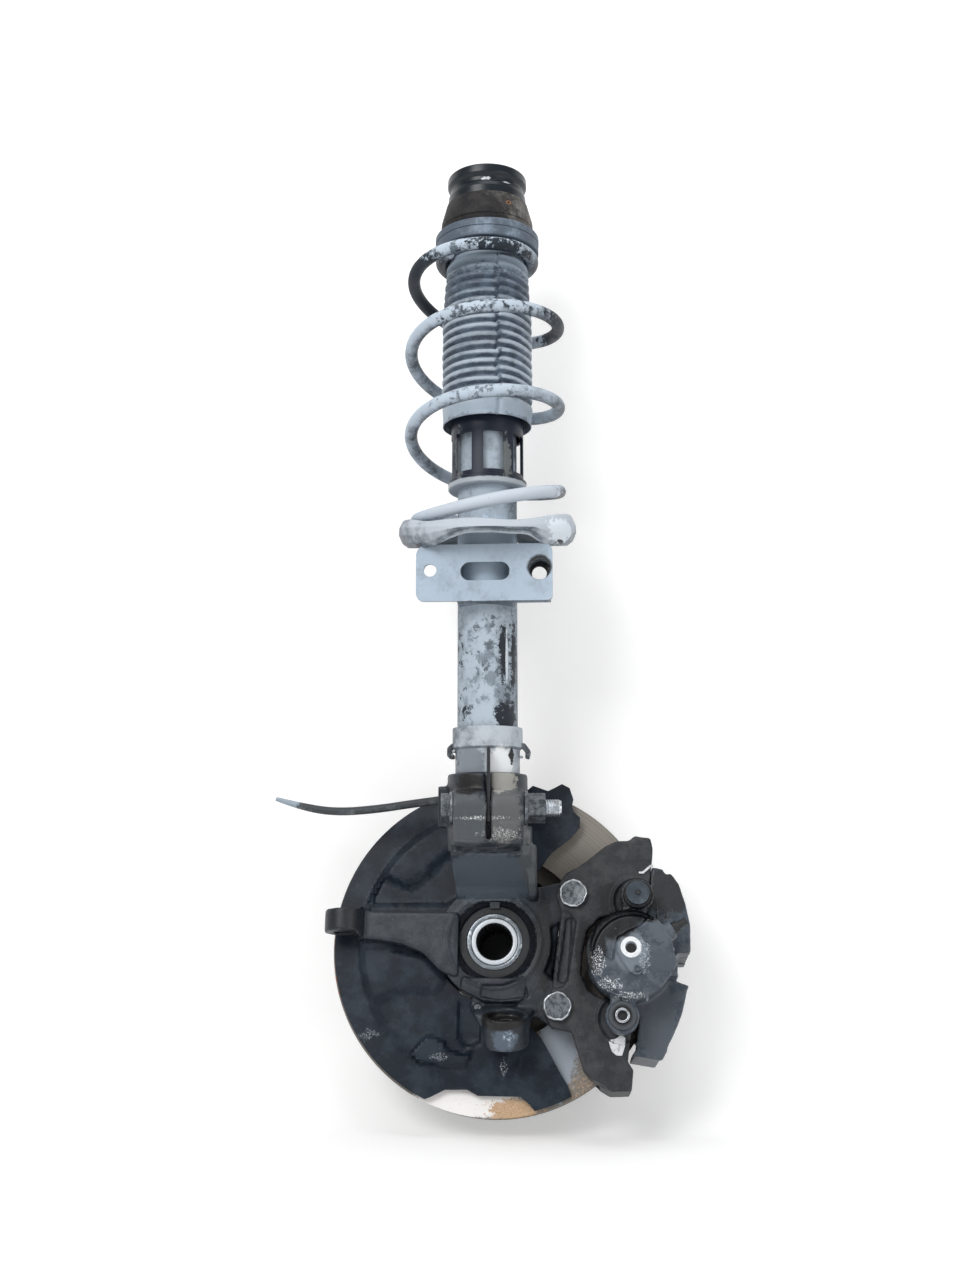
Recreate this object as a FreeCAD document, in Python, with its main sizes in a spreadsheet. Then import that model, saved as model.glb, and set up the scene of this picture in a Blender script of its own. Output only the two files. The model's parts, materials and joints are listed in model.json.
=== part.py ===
import FreeCAD, Part
import Sketcher
import math
import os
from FreeCAD import Placement, Rotation, Vector

# A complete front suspension corner: strut with spring and bellows, steering knuckle,
# wheel bearing, vented brake disc, splash shield and floating caliper.
# Frame: +Z runs up the damper axis, -Y looks inboard, the origin is the middle of the top
# mount's seat. Heights are drops below that seat. Lengths are millimetres.

doc = FreeCAD.newDocument("suspension_corner")
sheet = doc.addObject("Spreadsheet::Sheet", "sizes")
cell_row = 0


class Size:
    """A length with its number now and the sheet expression that keeps it."""

    def __init__(self, value, text):
        self.value = float(value)
        self.text = text

    @staticmethod
    def of(other):
        if isinstance(other, Size):
            return other
        return Size(other, repr(float(other)))

    def __add__(self, other):
        other = Size.of(other)
        return Size(self.value + other.value, f"({self.text} + {other.text})")

    def __radd__(self, other):
        return Size.of(other) + self

    def __sub__(self, other):
        other = Size.of(other)
        return Size(self.value - other.value, f"({self.text} - {other.text})")

    def __rsub__(self, other):
        return Size.of(other) - self

    def __mul__(self, other):
        other = Size.of(other)
        return Size(self.value * other.value, f"({self.text} * {other.text})")

    def __rmul__(self, other):
        return Size.of(other) * self

    def __truediv__(self, other):
        other = Size.of(other)
        return Size(self.value / other.value, f"({self.text} / {other.text})")

    def __neg__(self):
        return Size(-self.value, f"(0 - {self.text})")

    def __float__(self):
        return self.value


def size(name, value, words):
    """One driving dimension: a cell with its own name, and what it measures beside it."""
    global cell_row
    cell_row += 1
    sheet.set(f"A{cell_row}", str(value))
    sheet.setAlias(f"A{cell_row}", name)
    sheet.set(f"B{cell_row}", words)
    return Size(value, f"sizes.{name}")


# Fits and gaps shared by many pieces
running_gap = size("running_gap", 0.04, "radial clearance of a running or sliding fit")
free_gap = size("free_gap", 0.3, "clearance between neighbours that move past each other")
bolt_gap = size("bolt_gap", 0.5, "radial clearance of a bolt in its hole")
sheet_wall = size("sheet_wall", 1.2, "splash shield steel")

# Top mount and steering bearing
mount_dia = size("mount_dia", 70.5, "rubber top mount")
mount_depth = size("mount_depth", 27.0, "top mount's height")
mount_neck = size("mount_neck", 64.0, "groove round the top mount")
mount_core = size("mount_core", 31.0, "steel sleeve bonded in the rubber")
mount_plate = size("mount_plate", 54.0, "steel plate under the rubber")
plate_wall = size("plate_wall", 3.0, "thickness of that plate")
shank_dia = size("shank_dia", 14.0, "threaded top end of the rod")
shank_rise = size("shank_rise", 14.0, "rod end above the mount's seat")
nut_across = size("nut_across", 21.0, "hexagon of the rod nut and pinch bolt")
nut_depth = size("nut_depth", 11.0, "rod nut")
shell_depth = size("shell_depth", 23.0, "steering bearing's upper shell")
shell_dia = size("shell_dia", 82.0, "steering bearing's lower rim")
steer_ball = size("steer_ball", 6.8, "ball of the steering bearing")
steer_pitch = size("steer_pitch", 58.0, "pitch circle of those balls")
race_wall = size("race_wall", 1.6, "land of a steering race")
race_depth = size("race_depth", 6.4, "steering bearing's lower ring")

# Upper spring seat
seat_wall = size("seat_wall", 3.0, "pressed plate of a spring seat")
pan_dia = size("pan_dia", 92.0, "upper spring seat")
pad_depth = size("pad_depth", 13.6, "rubber pad between seat and top coil")
neck_bore = size("neck_bore", 66.4, "inside of the pad's neck")
neck_wall = size("neck_wall", 1.2, "wall of the pad's neck")
neck_depth = size("neck_depth", 7.0, "neck below the top of the coil")

# Where the lower seat stands, which the spring, the damper and all that it carries follow
lower_seat_drop = size("lower_seat_drop", 319.0, "drop to the middle of the lower seat")
lower_seat_dia = size("lower_seat_dia", 153.0, "lower spring seat")

# Spring
wire_dia = size("wire_dia", 11.0, "spring wire")
tail_radius = size("tail_radius", 40.2, "wire centre of the drawn-in top coil")
foot_inset = size("foot_inset", 15.9, "lower seat's rim to the wire centre of the end coil")
foot_radius = lower_seat_dia / 2 - foot_inset
coil_spread = size("coil_spread", 3.7, "open coils wider than the end coil")
coil_radius = foot_radius + coil_spread
coil_pitch = size("coil_pitch", 74.0, "rise of a turn")
coil_shift = size("coil_shift", 1.7, "spring axis beside the damper axis")
coil_bow = size("coil_bow", 7.0, "side-load spring's bow towards inboard")
coil_lean = size("coil_lean", 7.0, "rise of a coil at its inboard side")
coil_roll = size("coil_roll", 5.0, "rise of a coil at its left side")

# Bellows
bellows_dia = size("bellows_dia", 79.0, "crest of the widest rib")
bellows_top = size("bellows_top", 72.0, "crest of the top rib")
bellows_wall = size("bellows_wall", 1.1, "moulded wall")
rib_depth = size("rib_depth", 3.6, "crest to root")
rib_count = size("rib_count", 16, "number of ribs")
rim_overlap = size("rim_overlap", 19.3, "bellows' open rim below the cage's top")
bellows_collar = size("bellows_collar", 17.0, "smooth collar above the rim")

# Damper
rod_dia = size("rod_dia", 22.0, "piston rod")
stroke = size("stroke", 105.0, "bump travel from full droop")
bump_dia = size("bump_dia", 50.0, "bump stop")
bump_length = size("bump_length", 48.0, "bump stop")
tube_dia = size("tube_dia", 51.0, "strut tube")
tube_wall = size("tube_wall", 2.5, "strut tube")
tube_rise = size("tube_rise", 99.0, "rolled end of the strut tube above the lower seat")
tube_top = lower_seat_drop - tube_rise
tube_length = size("tube_length", 377.0, "strut tube")
tube_foot = tube_top + tube_length
guide_depth = size("guide_depth", 18.0, "rod guide with its seal")
inner_dia = size("inner_dia", 39.0, "pressure tube")
inner_wall = size("inner_wall", 1.5, "pressure tube")
piston_depth = size("piston_depth", 20.0, "damper piston")
valve_depth = size("valve_depth", 14.0, "base valve")
rebound_gap = size("rebound_gap", 14.0, "rod guide to damper piston at full droop")

# Windowed cage under the bellows
cage_dia = size("cage_dia", 62.8, "bellows cage")
cage_wall = size("cage_wall", 2.6, "bellows cage")
cage_rise = size("cage_rise", 107.0, "cage's top above the lower seat")
cage_top = lower_seat_drop - cage_rise
cage_length = size("cage_length", 77.0, "bellows cage")
cage_flange = size("cage_flange", 68.0, "flange at the cage's foot")
flange_depth = size("flange_depth", 8.0, "that flange")
window_count = size("window_count", 7, "number of windows")
window_width = size("window_width", 17.5, "cage window")
window_height = size("window_height", 34.0, "cage window")
window_drop = size("window_drop", 31.0, "cage top to window")

# Lower spring seat
lower_seat_tilt = size("lower_seat_tilt", 13.0, "degrees, outboard side up")
skirt_depth = size("skirt_depth", 19.0, "turned-down side lobes")
arch_rise = size("arch_rise", 12.0, "arch in the skirt over the tube")

# Link bracket
link_width = size("link_width", 113.5, "bracket plate")
link_height = size("link_height", 48.0, "bracket plate")
link_wall = size("link_wall", 3.0, "bracket plate")
link_reach = size("link_reach", 41.0, "damper axis to the plate's face")
link_fall = size("link_fall", 50.0, "bracket's middle below the lower seat")
link_drop = lower_seat_drop + link_fall
slot_width = size("slot_width", 41.0, "slot in the plate")
slot_height = size("slot_height", 15.5, "slot in the plate")
link_hole = size("link_hole", 12.5, "anti-roll link hole")
access_hole = size("access_hole", 18.0, "hole for the socket in front of it")
link_hole_out = size("link_hole_out", 45.2, "link hole beside the axis")
access_hole_out = size("access_hole_out", 46.0, "access hole beside the axis")
spare_hole = size("spare_hole", 10.6, "left hole")
spare_hole_out = size("spare_hole_out", 45.0, "left hole beside the axis")
link_box = size("link_box", 19.0, "plate to the wall that holds the link")

# Hooked collar and locating fin
collar_rise = size("collar_rise", 102.0, "collar's upper edge above the tube's foot")
collar_top = tube_foot - collar_rise
collar_dia = size("collar_dia", 59.0, "upper band")
collar_low = size("collar_low", 54.2, "lower band")
collar_wall = size("collar_wall", 1.6, "collar steel")
collar_band = size("collar_band", 16.5, "upper band")
collar_length = size("collar_length", 38.0, "whole collar")
hook_reach = size("hook_reach", 8.0, "cable hook")
fin_wall = size("fin_wall", 2.6, "locating fin")
fin_reach = size("fin_reach", 21.0, "fin in front of the tube")
fin_rise = size("fin_rise", 83.0, "fin's top above the tube's foot")
fin_top = tube_foot - fin_rise
fin_length = size("fin_length", 60.0, "locating fin")
clamp_turn = size("clamp_turn", 5.0, "degrees, slit turned from straight inboard")

# Knuckle
clamp_rise = size("clamp_rise", 63.5, "clamp's upper edge above the tube's foot")
clamp_top = tube_foot - clamp_rise
clamp_depth = size("clamp_depth", 64.0, "clamp height")
clamp_wall = size("clamp_wall", 8.0, "clamp round the tube")
slit_width = size("slit_width", 4.2, "clamp slit")
lug_reach = size("lug_reach", 50.0, "damper axis to the lugs' face")
lug_half = size("lug_half", 28.0, "half the width over both lugs")
pinch_dia = size("pinch_dia", 14.0, "pinch bolt")
pinch_fall = size("pinch_fall", 29.3, "pinch bolt below the clamp's upper edge")
pinch_drop = clamp_top + pinch_fall
pinch_reach = size("pinch_reach", 37.5, "damper axis to the pinch bolt")
pinch_tail = size("pinch_tail", 30.0, "bolt beyond the right lug")
head_depth = size("head_depth", 9.5, "pinch bolt head")
pinch_nut_depth = size("pinch_nut_depth", 17.0, "flanged pinch nut")
hub_out = size("hub_out", 25.0, "damper axis to the bearing's inboard face")
hub_side = size("hub_side", 3.7, "hub axis beside the damper axis")
hub_fall = size("hub_fall", 74.2, "bearing's inboard face below the tube's foot")
hub_drop = tube_foot + hub_fall
hub_tilt = size("hub_tilt", 12.5, "degrees, hub axis down towards outboard")
boss_dia = size("boss_dia", 97.0, "bearing boss of the knuckle")
boss_depth = size("boss_depth", 42.0, "bearing boss of the knuckle")
arm_reach = size("arm_reach", 127.0, "hub axis to the track-rod bore")
arm_height = size("arm_height", 21.0, "steering arm")
tie_bore = size("tie_bore", 14.6, "track-rod bore")
tie_boss = size("tie_boss", 27.0, "height of the arm's end")
joint_bore = size("joint_bore", 18.0, "ball-joint stud bore")
joint_boss = size("joint_boss", 37.0, "ball-joint boss")
joint_depth = size("joint_depth", 25.5, "ball-joint boss")
joint_cup = size("joint_cup", 29.0, "nut recess in that boss")
joint_out = size("joint_out", 11.2, "ball-joint boss beside the hub axis")
joint_low = size("joint_low", 61.5, "hub axis to the boss's mouth")
joint_in = size("joint_in", 19.0, "boss's mouth inboard of the bearing boss's face")
joint_lean = size("joint_lean", 25.5, "degrees, boss to the disc plane")

# Wheel bearing and hub
bearing_dia = size("bearing_dia", 68.0, "wheel bearing outside")
bearing_bore = size("bearing_bore", 39.0, "wheel bearing bore")
bearing_width = size("bearing_width", 37.0, "wheel bearing")
ring_wall = size("ring_wall", 4.2, "bearing ring")
bearing_inset = size("bearing_inset", 3.2, "bearing behind the boss face")
wheel_ball = size("wheel_ball", 8.0, "wheel bearing ball")
ball_count = size("ball_count", 11, "balls in a row of the wheel bearing")
clip_wall = size("clip_wall", 2.0, "retaining ring")
spline_bore = size("spline_bore", 31.0, "drive shaft bore")
hub_flange = size("hub_flange", 126.0, "wheel flange")
hub_flange_wall = size("hub_flange_wall", 10.0, "wheel flange")
flange_set = size("flange_set", 46.0, "boss face to wheel flange")
bolt_circle = size("bolt_circle", 100.0, "wheel bolt circle")
wheel_bolts = size("wheel_bolts", 5, "wheel bolts")
wheel_thread = size("wheel_thread", 12.5, "core hole of the wheel thread")
spigot_dia = size("spigot_dia", 64.9, "disc spigot")
pilot_dia = size("pilot_dia", 57.0, "wheel pilot")
pilot_depth = size("pilot_depth", 8.0, "wheel pilot")
plug_wall = size("plug_wall", 1.5, "dust plug that closes the hub's bore")
plug_rim = size("plug_rim", 7.0, "height of that plug")

# Brake disc
disc_dia = size("disc_dia", 280.0, "brake disc")
disc_wall = size("disc_wall", 22.0, "brake disc")
disc_set = size("disc_set", 22.5, "boss face to the disc's inboard face")
cheek_wall = size("cheek_wall", 6.5, "one friction ring")
cheek_bore = size("cheek_bore", 158.0, "inner edge of the friction rings")
hat_dia = size("hat_dia", 146.0, "disc hat")
hat_wall = size("hat_wall", 6.5, "disc hat")
vane_count = size("vane_count", 32, "cooling vanes")
vane_wall = size("vane_wall", 5.0, "cooling vane")
wheel_hole = size("wheel_hole", 15.3, "wheel bolt hole of the disc")

# Splash shield
shield_dia = size("shield_dia", 276.0, "splash shield")
shield_set = size("shield_set", 12.4, "boss face to shield")
shield_step = size("shield_step", 3.6, "rim behind the shield's middle")
shield_bore = size("shield_bore", 100.0, "hole round the bearing boss")

# Caliper, its frame turned round the hub axis
caliper_turn = size("caliper_turn", -8.5, "degrees, caliper below the hub's level")
carrier_bolt_out = size("carrier_bolt_out", 60.5, "hub axis to the carrier bolts")
carrier_bolt_half = size("carrier_bolt_half", 46.3, "half the carrier bolt spacing")
carrier_bolt_dia = size("carrier_bolt_dia", 12.0, "carrier bolt")
carrier_wall = size("carrier_wall", 14.0, "carrier bar")
pin_out = size("pin_out", 113.0, "hub axis to the guide pins")
pin_half = size("pin_half", 48.3, "half the guide pin spacing")
pin_dia = size("pin_dia", 10.0, "guide pin")
post_in = size("post_in", 143.0, "carrier and caliper clear of the disc's rim")
caliper_out = size("caliper_out", 164.5, "outer radius of the caliper bridge")
cylinder_dia = size("cylinder_dia", 70.0, "caliper cylinder")
piston_dia = size("piston_dia", 54.0, "caliper piston")
cylinder_depth = size("cylinder_depth", 46.0, "boss face to the cylinder's end")
cylinder_floor = size("cylinder_floor", 8.0, "closed end of the cylinder")
piston_travel = size("piston_travel", 8.0, "piston pushed back for new pads")
pad_gap = size("pad_gap", 0.3, "lining to disc")
lining_wall = size("lining_wall", 9.0, "brake lining, half worn")
backing_wall = size("backing_wall", 5.0, "brake pad backing")
pad_in = size("pad_in", 96.0, "inner edge of the pads")
pad_out = size("pad_out", 136.0, "outer edge of the pads")
pad_half = size("pad_half", 57.0, "half the length of a pad")
port_dia = size("port_dia", 8.6, "brake hose thread core")
port_depth = size("port_depth", 10.0, "brake hose thread")

# Cut-off sensor lead
lead_dia = size("lead_dia", 7.0, "sensor lead")
probe_dia = size("probe_dia", 18.0, "wheel speed sensor")


# Placements

def turned(axis, degrees, base=Vector(0, 0, 0)):
    return Placement(base, Rotation(axis, float(degrees)))


hub_frame = Placement(
    Vector(float(hub_side), float(hub_out), -float(hub_drop)),
    Rotation(Vector(1, 0, 0), 90 - float(hub_tilt)))
caliper_frame = hub_frame.multiply(turned(Vector(0, 0, 1), caliper_turn))
seat_frame = turned(Vector(1, 0, 0), lower_seat_tilt, Vector(0, 0, -float(lower_seat_drop)))
clamp_frame = turned(Vector(0, 0, 1), clamp_turn)

# In the hub frame x is sideways, y is up in the plane of the disc, and z points inboard.
# A depth is a distance outboard of the bearing boss's face, so it counts along -z.

parts = []


def finish(feature, label):
    """Name a finished sub-part and put it on the list to write."""
    feature.Label = label
    parts.append(feature)
    return feature


# Sketched bodies

def origin_plane(body, role):
    for feature in body.Origin.OriginFeatures:
        if feature.Role == role:
            return feature
    raise ValueError(role)


def bound_sketch(body, role, outlines):
    """A sketch of closed straight-sided outlines whose every corner is bound to the sheet."""
    sketch = body.newObject("Sketcher::SketchObject", body.Name + "_outline")
    sketch.AttachmentSupport = [(origin_plane(body, role), "")]
    sketch.MapMode = "FlatFace"
    for points in outlines:
        first = sketch.GeometryCount
        corners = [Vector(float(x), float(y), 0) for x, y in points]
        for index, corner in enumerate(corners):
            following = corners[(index + 1) % len(corners)]
            sketch.addGeometry(Part.LineSegment(corner, following), False)
        for index in range(len(points)):
            following = (index + 1) % len(points)
            sketch.addConstraint(
                Sketcher.Constraint("Coincident", first + index, 2, first + following, 1))
        for index, point in enumerate(points):
            for kind, coordinate in zip(("DistanceX", "DistanceY"), point):
                coordinate = Size.of(coordinate)
                number = sketch.addConstraint(
                    Sketcher.Constraint(kind, -1, 1, first + index, 1, coordinate.value))
                if "sizes." in coordinate.text:
                    sketch.setExpression(f"Constraints[{number}]", coordinate.text)
    return sketch


def ring_body(label, outlines, frame=Placement()):
    """A turned piece: outlines of (radius, height) points revolved about the Z axis."""
    body = doc.addObject("PartDesign::Body", label)
    sketch = bound_sketch(body, "XZ_Plane", outlines)
    turning = body.newObject("PartDesign::Revolution", label + "_turned")
    turning.Profile = sketch
    turning.ReferenceAxis = (sketch, ["V_Axis"])
    turning.Angle = 360
    sketch.Visibility = False
    body.Placement = frame
    return body


def plate_body(label, outlines, thickness, frame=Placement(), role="XY_Plane"):
    """A plate: outlines padded by its thickness."""
    body = doc.addObject("PartDesign::Body", label)
    sketch = bound_sketch(body, role, outlines)
    pad = body.newObject("PartDesign::Pad", label + "_pad")
    pad.Profile = sketch
    thickness = Size.of(thickness)
    pad.Length = thickness.value
    pad.setExpression("Length", thickness.text)
    sketch.Visibility = False
    body.Placement = frame
    return body


def box_outline(left, low, right, high):
    return [(left, low), (right, low), (right, high), (left, high)]


# Primitives bound to the sheet

def set_bound(feature, name, quantity):
    quantity = Size.of(quantity)
    setattr(feature, name, quantity.value)
    if "sizes." in quantity.text:
        feature.setExpression(name, quantity.text)


def set_base(feature, point):
    point = [Size.of(part) for part in point]
    feature.Placement = Placement(Vector(*[part.value for part in point]), feature.Placement.Rotation)
    for axis, part in zip("xyz", point):
        if "sizes." in part.text:
            feature.setExpression(f"Placement.Base.{axis}", part.text)


def rod_piece(name, radius, height, base=(0, 0, 0), rotation=Rotation()):
    feature = doc.addObject("Part::Cylinder", name)
    set_bound(feature, "Radius", radius)
    set_bound(feature, "Height", height)
    feature.Placement = Placement(Vector(0, 0, 0), rotation)
    set_base(feature, base)
    return feature


def hex_piece(name, across, height, base=(0, 0, 0), rotation=Rotation()):
    feature = doc.addObject("Part::Prism", name)
    feature.Polygon = 6
    set_bound(feature, "Circumradius", across / math.sqrt(3))
    set_bound(feature, "Height", height)
    feature.Placement = Placement(Vector(0, 0, 0), rotation)
    set_base(feature, base)
    return feature


def cut_piece(name, base, tool):
    feature = doc.addObject("Part::Cut", name)
    feature.Base = base
    feature.Tool = tool
    return feature


def fuse_pieces(name, pieces):
    feature = doc.addObject("Part::MultiFuse", name)
    feature.Shapes = pieces
    return feature


def group_pieces(name, pieces):
    feature = doc.addObject("Part::Compound", name)
    feature.Links = pieces
    return feature


# Shapes made by code: castings, pressings and wound forms

def shaped(label, shape, frame=Placement()):
    feature = doc.addObject("Part::Feature", label)
    feature.Shape = shape
    feature.Placement = frame
    return finish(feature, label)


def rounded_wire(points, radii):
    """A closed outline of straight sides whose corners are rounded by tangent arcs."""
    corners = [Vector(float(x), float(y), 0) for x, y in points]
    if not isinstance(radii, (list, tuple)):
        radii = [radii] * len(corners)
    count = len(corners)
    entries = []
    for index in range(count):
        here = corners[index]
        back = (corners[index - 1] - here).normalize()
        ahead = (corners[(index + 1) % count] - here).normalize()
        half = back.getAngle(ahead) / 2
        reach = float(radii[index]) / math.tan(half)
        middle = (back + ahead).normalize()
        arc_mid = here + middle * (float(radii[index]) / math.sin(half) - float(radii[index]))
        entries.append((here + back * reach, arc_mid, here + ahead * reach))
    edges = []
    for index in range(count):
        start, arc_mid, end = entries[index]
        if (start - end).Length > 0.001:
            edges.append(Part.Arc(start, arc_mid, end).toShape())
        following = entries[(index + 1) % count][0]
        if (following - end).Length > 0.001:
            edges.append(Part.LineSegment(end, following).toShape())
    return Part.Wire(edges)


def slab(wire, near, far):
    """A flat wire made solid between two depths outboard of the boss face."""
    face = Part.Face(wire)
    face.translate(Vector(0, 0, -float(far)))
    return face.extrude(Vector(0, 0, float(far) - float(near)))


def drum(radius, near, far, x=0, y=0):
    """A round solid between two depths outboard of the boss face."""
    return Part.makeCylinder(
        float(radius), float(far) - float(near), Vector(float(x), float(y), -float(far)))


def block(x_low, x_high, y_low, y_high, z_low, z_high):
    return Part.makeBox(
        float(x_high) - float(x_low), float(y_high) - float(y_low), float(z_high) - float(z_low),
        Vector(float(x_low), float(y_low), float(z_low)))


def side_block(x_low, x_high, y_low, y_high, near, far):
    """A block in the hub frame, between two depths."""
    return block(x_low, x_high, y_low, y_high, -float(far), -float(near))


def placed(shape, placement):
    moved = shape.copy()
    moved.Placement = placement.multiply(moved.Placement)
    return moved


# Top mount, rod end and steering bearing

mount_floor = mount_depth - plate_wall
rod_clear = rod_dia / 2 + 2.5

mount_rubber = finish(ring_body("mount_rubber", [[
    (mount_core / 2, 0), (mount_dia / 2, 0), (mount_dia / 2, -8.5), (mount_dia / 2 - 1.2, -11),
    (mount_neck / 2, -12.5), (mount_neck / 2, -15), (mount_dia / 2 - 1.6, -17.5),
    (mount_dia / 2 - 0.6, -21), (mount_dia / 2 - 0.6, -mount_depth),
    (mount_plate / 2, -mount_depth), (mount_plate / 2, -mount_floor),
    (mount_core / 2, -mount_floor)]]), "mount_rubber")

mount_sleeve = finish(ring_body("mount_sleeve", [[
    (shank_dia / 2, 0), (mount_core / 2, 0), (mount_core / 2, -mount_floor),
    (mount_plate / 2, -mount_floor), (mount_plate / 2, -mount_depth),
    (shank_dia / 2, -mount_depth)]]), "mount_sleeve")

rod_nut = finish(cut_piece(
    "rod_nut",
    hex_piece("rod_nut_hexagon", nut_across, nut_depth),
    rod_piece("rod_nut_thread", shank_dia / 2, nut_depth)), "rod_nut")

shell_roof = mount_depth + shell_depth - 9
shell_foot = mount_depth + shell_depth
ball_drop = shell_roof + free_gap / 2 + steer_ball / 2
race_top = ball_drop + steer_ball / 2 + free_gap / 2
cavity_in = steer_pitch / 2 - steer_ball / 2 - race_wall
cavity_out = steer_pitch / 2 + steer_ball / 2 + 3.7

bearing_shell = finish(ring_body("steering_bearing_shell", [[
    (rod_clear, -mount_depth), (mount_dia / 2 + 0.8, -mount_depth),
    (shell_dia / 2 - 2.2, -(mount_depth + 10)), (shell_dia / 2 - 0.3, -(mount_depth + 17)),
    (shell_dia / 2, -shell_foot), (cavity_out, -shell_foot), (cavity_out, -shell_roof),
    (cavity_in, -shell_roof), (cavity_in, -(race_top - free_gap)),
    (rod_clear, -(race_top - free_gap))]]), "steering_bearing_shell")

pan_top = shell_foot + free_gap + race_depth
bearing_ring = finish(ring_body("steering_bearing_ring", [[
    (rod_clear, -race_top), (cavity_out - 0.5, -race_top),
    (cavity_out - 0.5, -(shell_foot + free_gap)), (shell_dia / 2, -(shell_foot + free_gap)),
    (shell_dia / 2 - 0.6, -pan_top), (rod_clear, -pan_top)]]), "steering_bearing_ring")


def ball_row(count, pitch, diameter, height):
    """A row of separate balls on a pitch circle."""
    balls = []
    for index in range(int(float(count))):
        angle = 2 * math.pi * index / int(float(count))
        centre = Vector(float(pitch) / 2 * math.cos(angle), float(pitch) / 2 * math.sin(angle),
                        float(height))
        balls.append(Part.makeSphere(float(diameter) / 2, centre))
    return balls


shaped("steering_balls", Part.makeCompound(ball_row(12, steer_pitch, steer_ball, -ball_drop)))


# Upper spring seat, pad, bump stop

pan_floor = pan_top + seat_wall
upper_spring_seat = finish(ring_body("upper_spring_seat", [[
    (rod_clear, -pan_top), (pan_dia / 2 - 1, -pan_top), (pan_dia / 2, -(pan_top + 1)),
    (pan_dia / 2, -(pan_floor + 4)), (pan_dia / 2 - 2.5, -(pan_floor + 4)),
    (pan_dia / 2 - 2.5, -pan_floor), (rod_clear, -pan_floor)]]), "upper_spring_seat")

pad_foot = pan_floor + pad_depth
neck_foot = pad_foot + neck_depth
spring_pad = finish(ring_body("spring_pad", [[
    (neck_bore / 2, -pan_floor), (pan_dia / 2 - 2.5, -pan_floor),
    (pan_dia / 2 - 2.5, -(pan_floor + 4)), (pan_dia / 2 - 0.2, -(pan_floor + 4)),
    (pan_dia / 2 - 0.2, -(pad_foot - 1)), (pan_dia / 2 - 1.2, -pad_foot),
    (neck_bore / 2 + neck_wall, -pad_foot), (neck_bore / 2 + neck_wall, -neck_foot),
    (neck_bore / 2, -neck_foot)]]), "spring_pad")

bump_top = pan_floor + 1
bump_foot = bump_top + bump_length
bump_stop = finish(ring_body("bump_stop", [[
    (rod_dia / 2, -bump_top), (bump_dia / 2 - 1, -bump_top), (bump_dia / 2, -(bump_top + 3)),
    (bump_dia / 2, -(bump_top + 14)), (bump_dia / 2 - 4, -(bump_top + 17)),
    (bump_dia / 2 - 1, -(bump_top + 21)), (bump_dia / 2 - 1, -(bump_top + 31)),
    (bump_dia / 2 - 6, -(bump_top + 35)), (bump_dia / 2 - 6, -bump_foot),
    (rod_dia / 2, -bump_foot)]]), "bump_stop")


# Damper

tube_radius = tube_dia / 2
tube_bore = tube_radius - tube_wall
guide_top = tube_top + tube_wall
guide_foot = guide_top + guide_depth
inner_bore = inner_dia / 2 - inner_wall
guide_step = guide_foot - 4.5
piston_top = guide_foot + rebound_gap
piston_foot = piston_top + piston_depth

piston_rod = finish(ring_body("piston_rod", [[
    (0, shank_rise), (shank_dia / 2 - 1, shank_rise), (shank_dia / 2, shank_rise - 1),
    (shank_dia / 2, -mount_depth), (rod_dia / 2, -mount_depth), (rod_dia / 2, -piston_top),
    (shank_dia / 2, -piston_top), (shank_dia / 2, -(piston_foot + 3)),
    (0, -(piston_foot + 3))]]), "piston_rod")

damper_piston = finish(ring_body("damper_piston", [[
    (shank_dia / 2, -piston_top), (inner_bore - 2, -piston_top),
    (inner_bore - running_gap, -(piston_top + 2)), (inner_bore - running_gap, -(piston_foot - 2)),
    (inner_bore - 2, -piston_foot), (shank_dia / 2, -piston_foot)]]), "damper_piston")

strut_tube = finish(ring_body("strut_tube", [[
    (rod_clear + 1.5, -tube_top), (tube_radius - 1.5, -tube_top), (tube_radius, -(tube_top + 1.5)),
    (tube_radius, -(tube_foot - 2)), (tube_radius - 2, -tube_foot), (0, -tube_foot),
    (0, -(tube_foot - tube_wall)), (tube_bore, -(tube_foot - tube_wall)),
    (tube_bore, -guide_top), (rod_clear + 1.5, -guide_top)]]), "strut_tube")

rod_guide = finish(ring_body("rod_guide", [[
    (rod_dia / 2 + running_gap, -guide_top), (tube_bore, -guide_top), (tube_bore, -guide_step),
    (inner_bore, -guide_step), (inner_bore, -guide_foot),
    (rod_dia / 2 + running_gap, -guide_foot)]]), "rod_guide")

valve_floor = tube_foot - tube_wall
pressure_tube = finish(ring_body("pressure_tube", [[
    (inner_bore, -guide_step), (inner_dia / 2, -guide_step),
    (inner_dia / 2, -(valve_floor - 4)), (inner_bore, -(valve_floor - 4))]]), "pressure_tube")

base_valve = finish(ring_body("base_valve", [[
    (0, -(valve_floor - valve_depth)), (inner_bore, -(valve_floor - valve_depth)),
    (inner_bore, -(valve_floor - 4)), (inner_dia / 2 + 1.5, -(valve_floor - 4)),
    (inner_dia / 2 + 1.5, -valve_floor), (0, -valve_floor)]]), "base_valve")


# Windowed cage that holds the bellows' foot on the tube

cage_radius = cage_dia / 2
cage_bore = cage_radius - cage_wall
cage_foot = cage_top + cage_length
cage_ring = ring_body("cage_ring", [[
    (cage_bore, -cage_top), (bellows_dia / 2 - rib_depth - bellows_wall - free_gap - 1.2, -cage_top),
    (bellows_dia / 2 - rib_depth - bellows_wall - free_gap - 1.2, -(cage_top + 3)),
    (cage_radius, -(cage_top + 5)), (cage_radius, -(cage_foot - flange_depth)),
    (cage_flange / 2, -(cage_foot - flange_depth + 1)), (cage_flange / 2, -(cage_foot - 1)),
    (cage_flange / 2 - 1, -cage_foot), (tube_radius, -cage_foot),
    (tube_radius, -(cage_foot - flange_depth)), (cage_bore, -(cage_foot - flange_depth - 2)),
    (cage_bore, -(cage_top + 20)), (tube_radius, -(cage_top + 18)), (tube_radius, -(cage_top + 14)),
    (cage_bore, -(cage_top + 12))]])
window_tools = []
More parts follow.
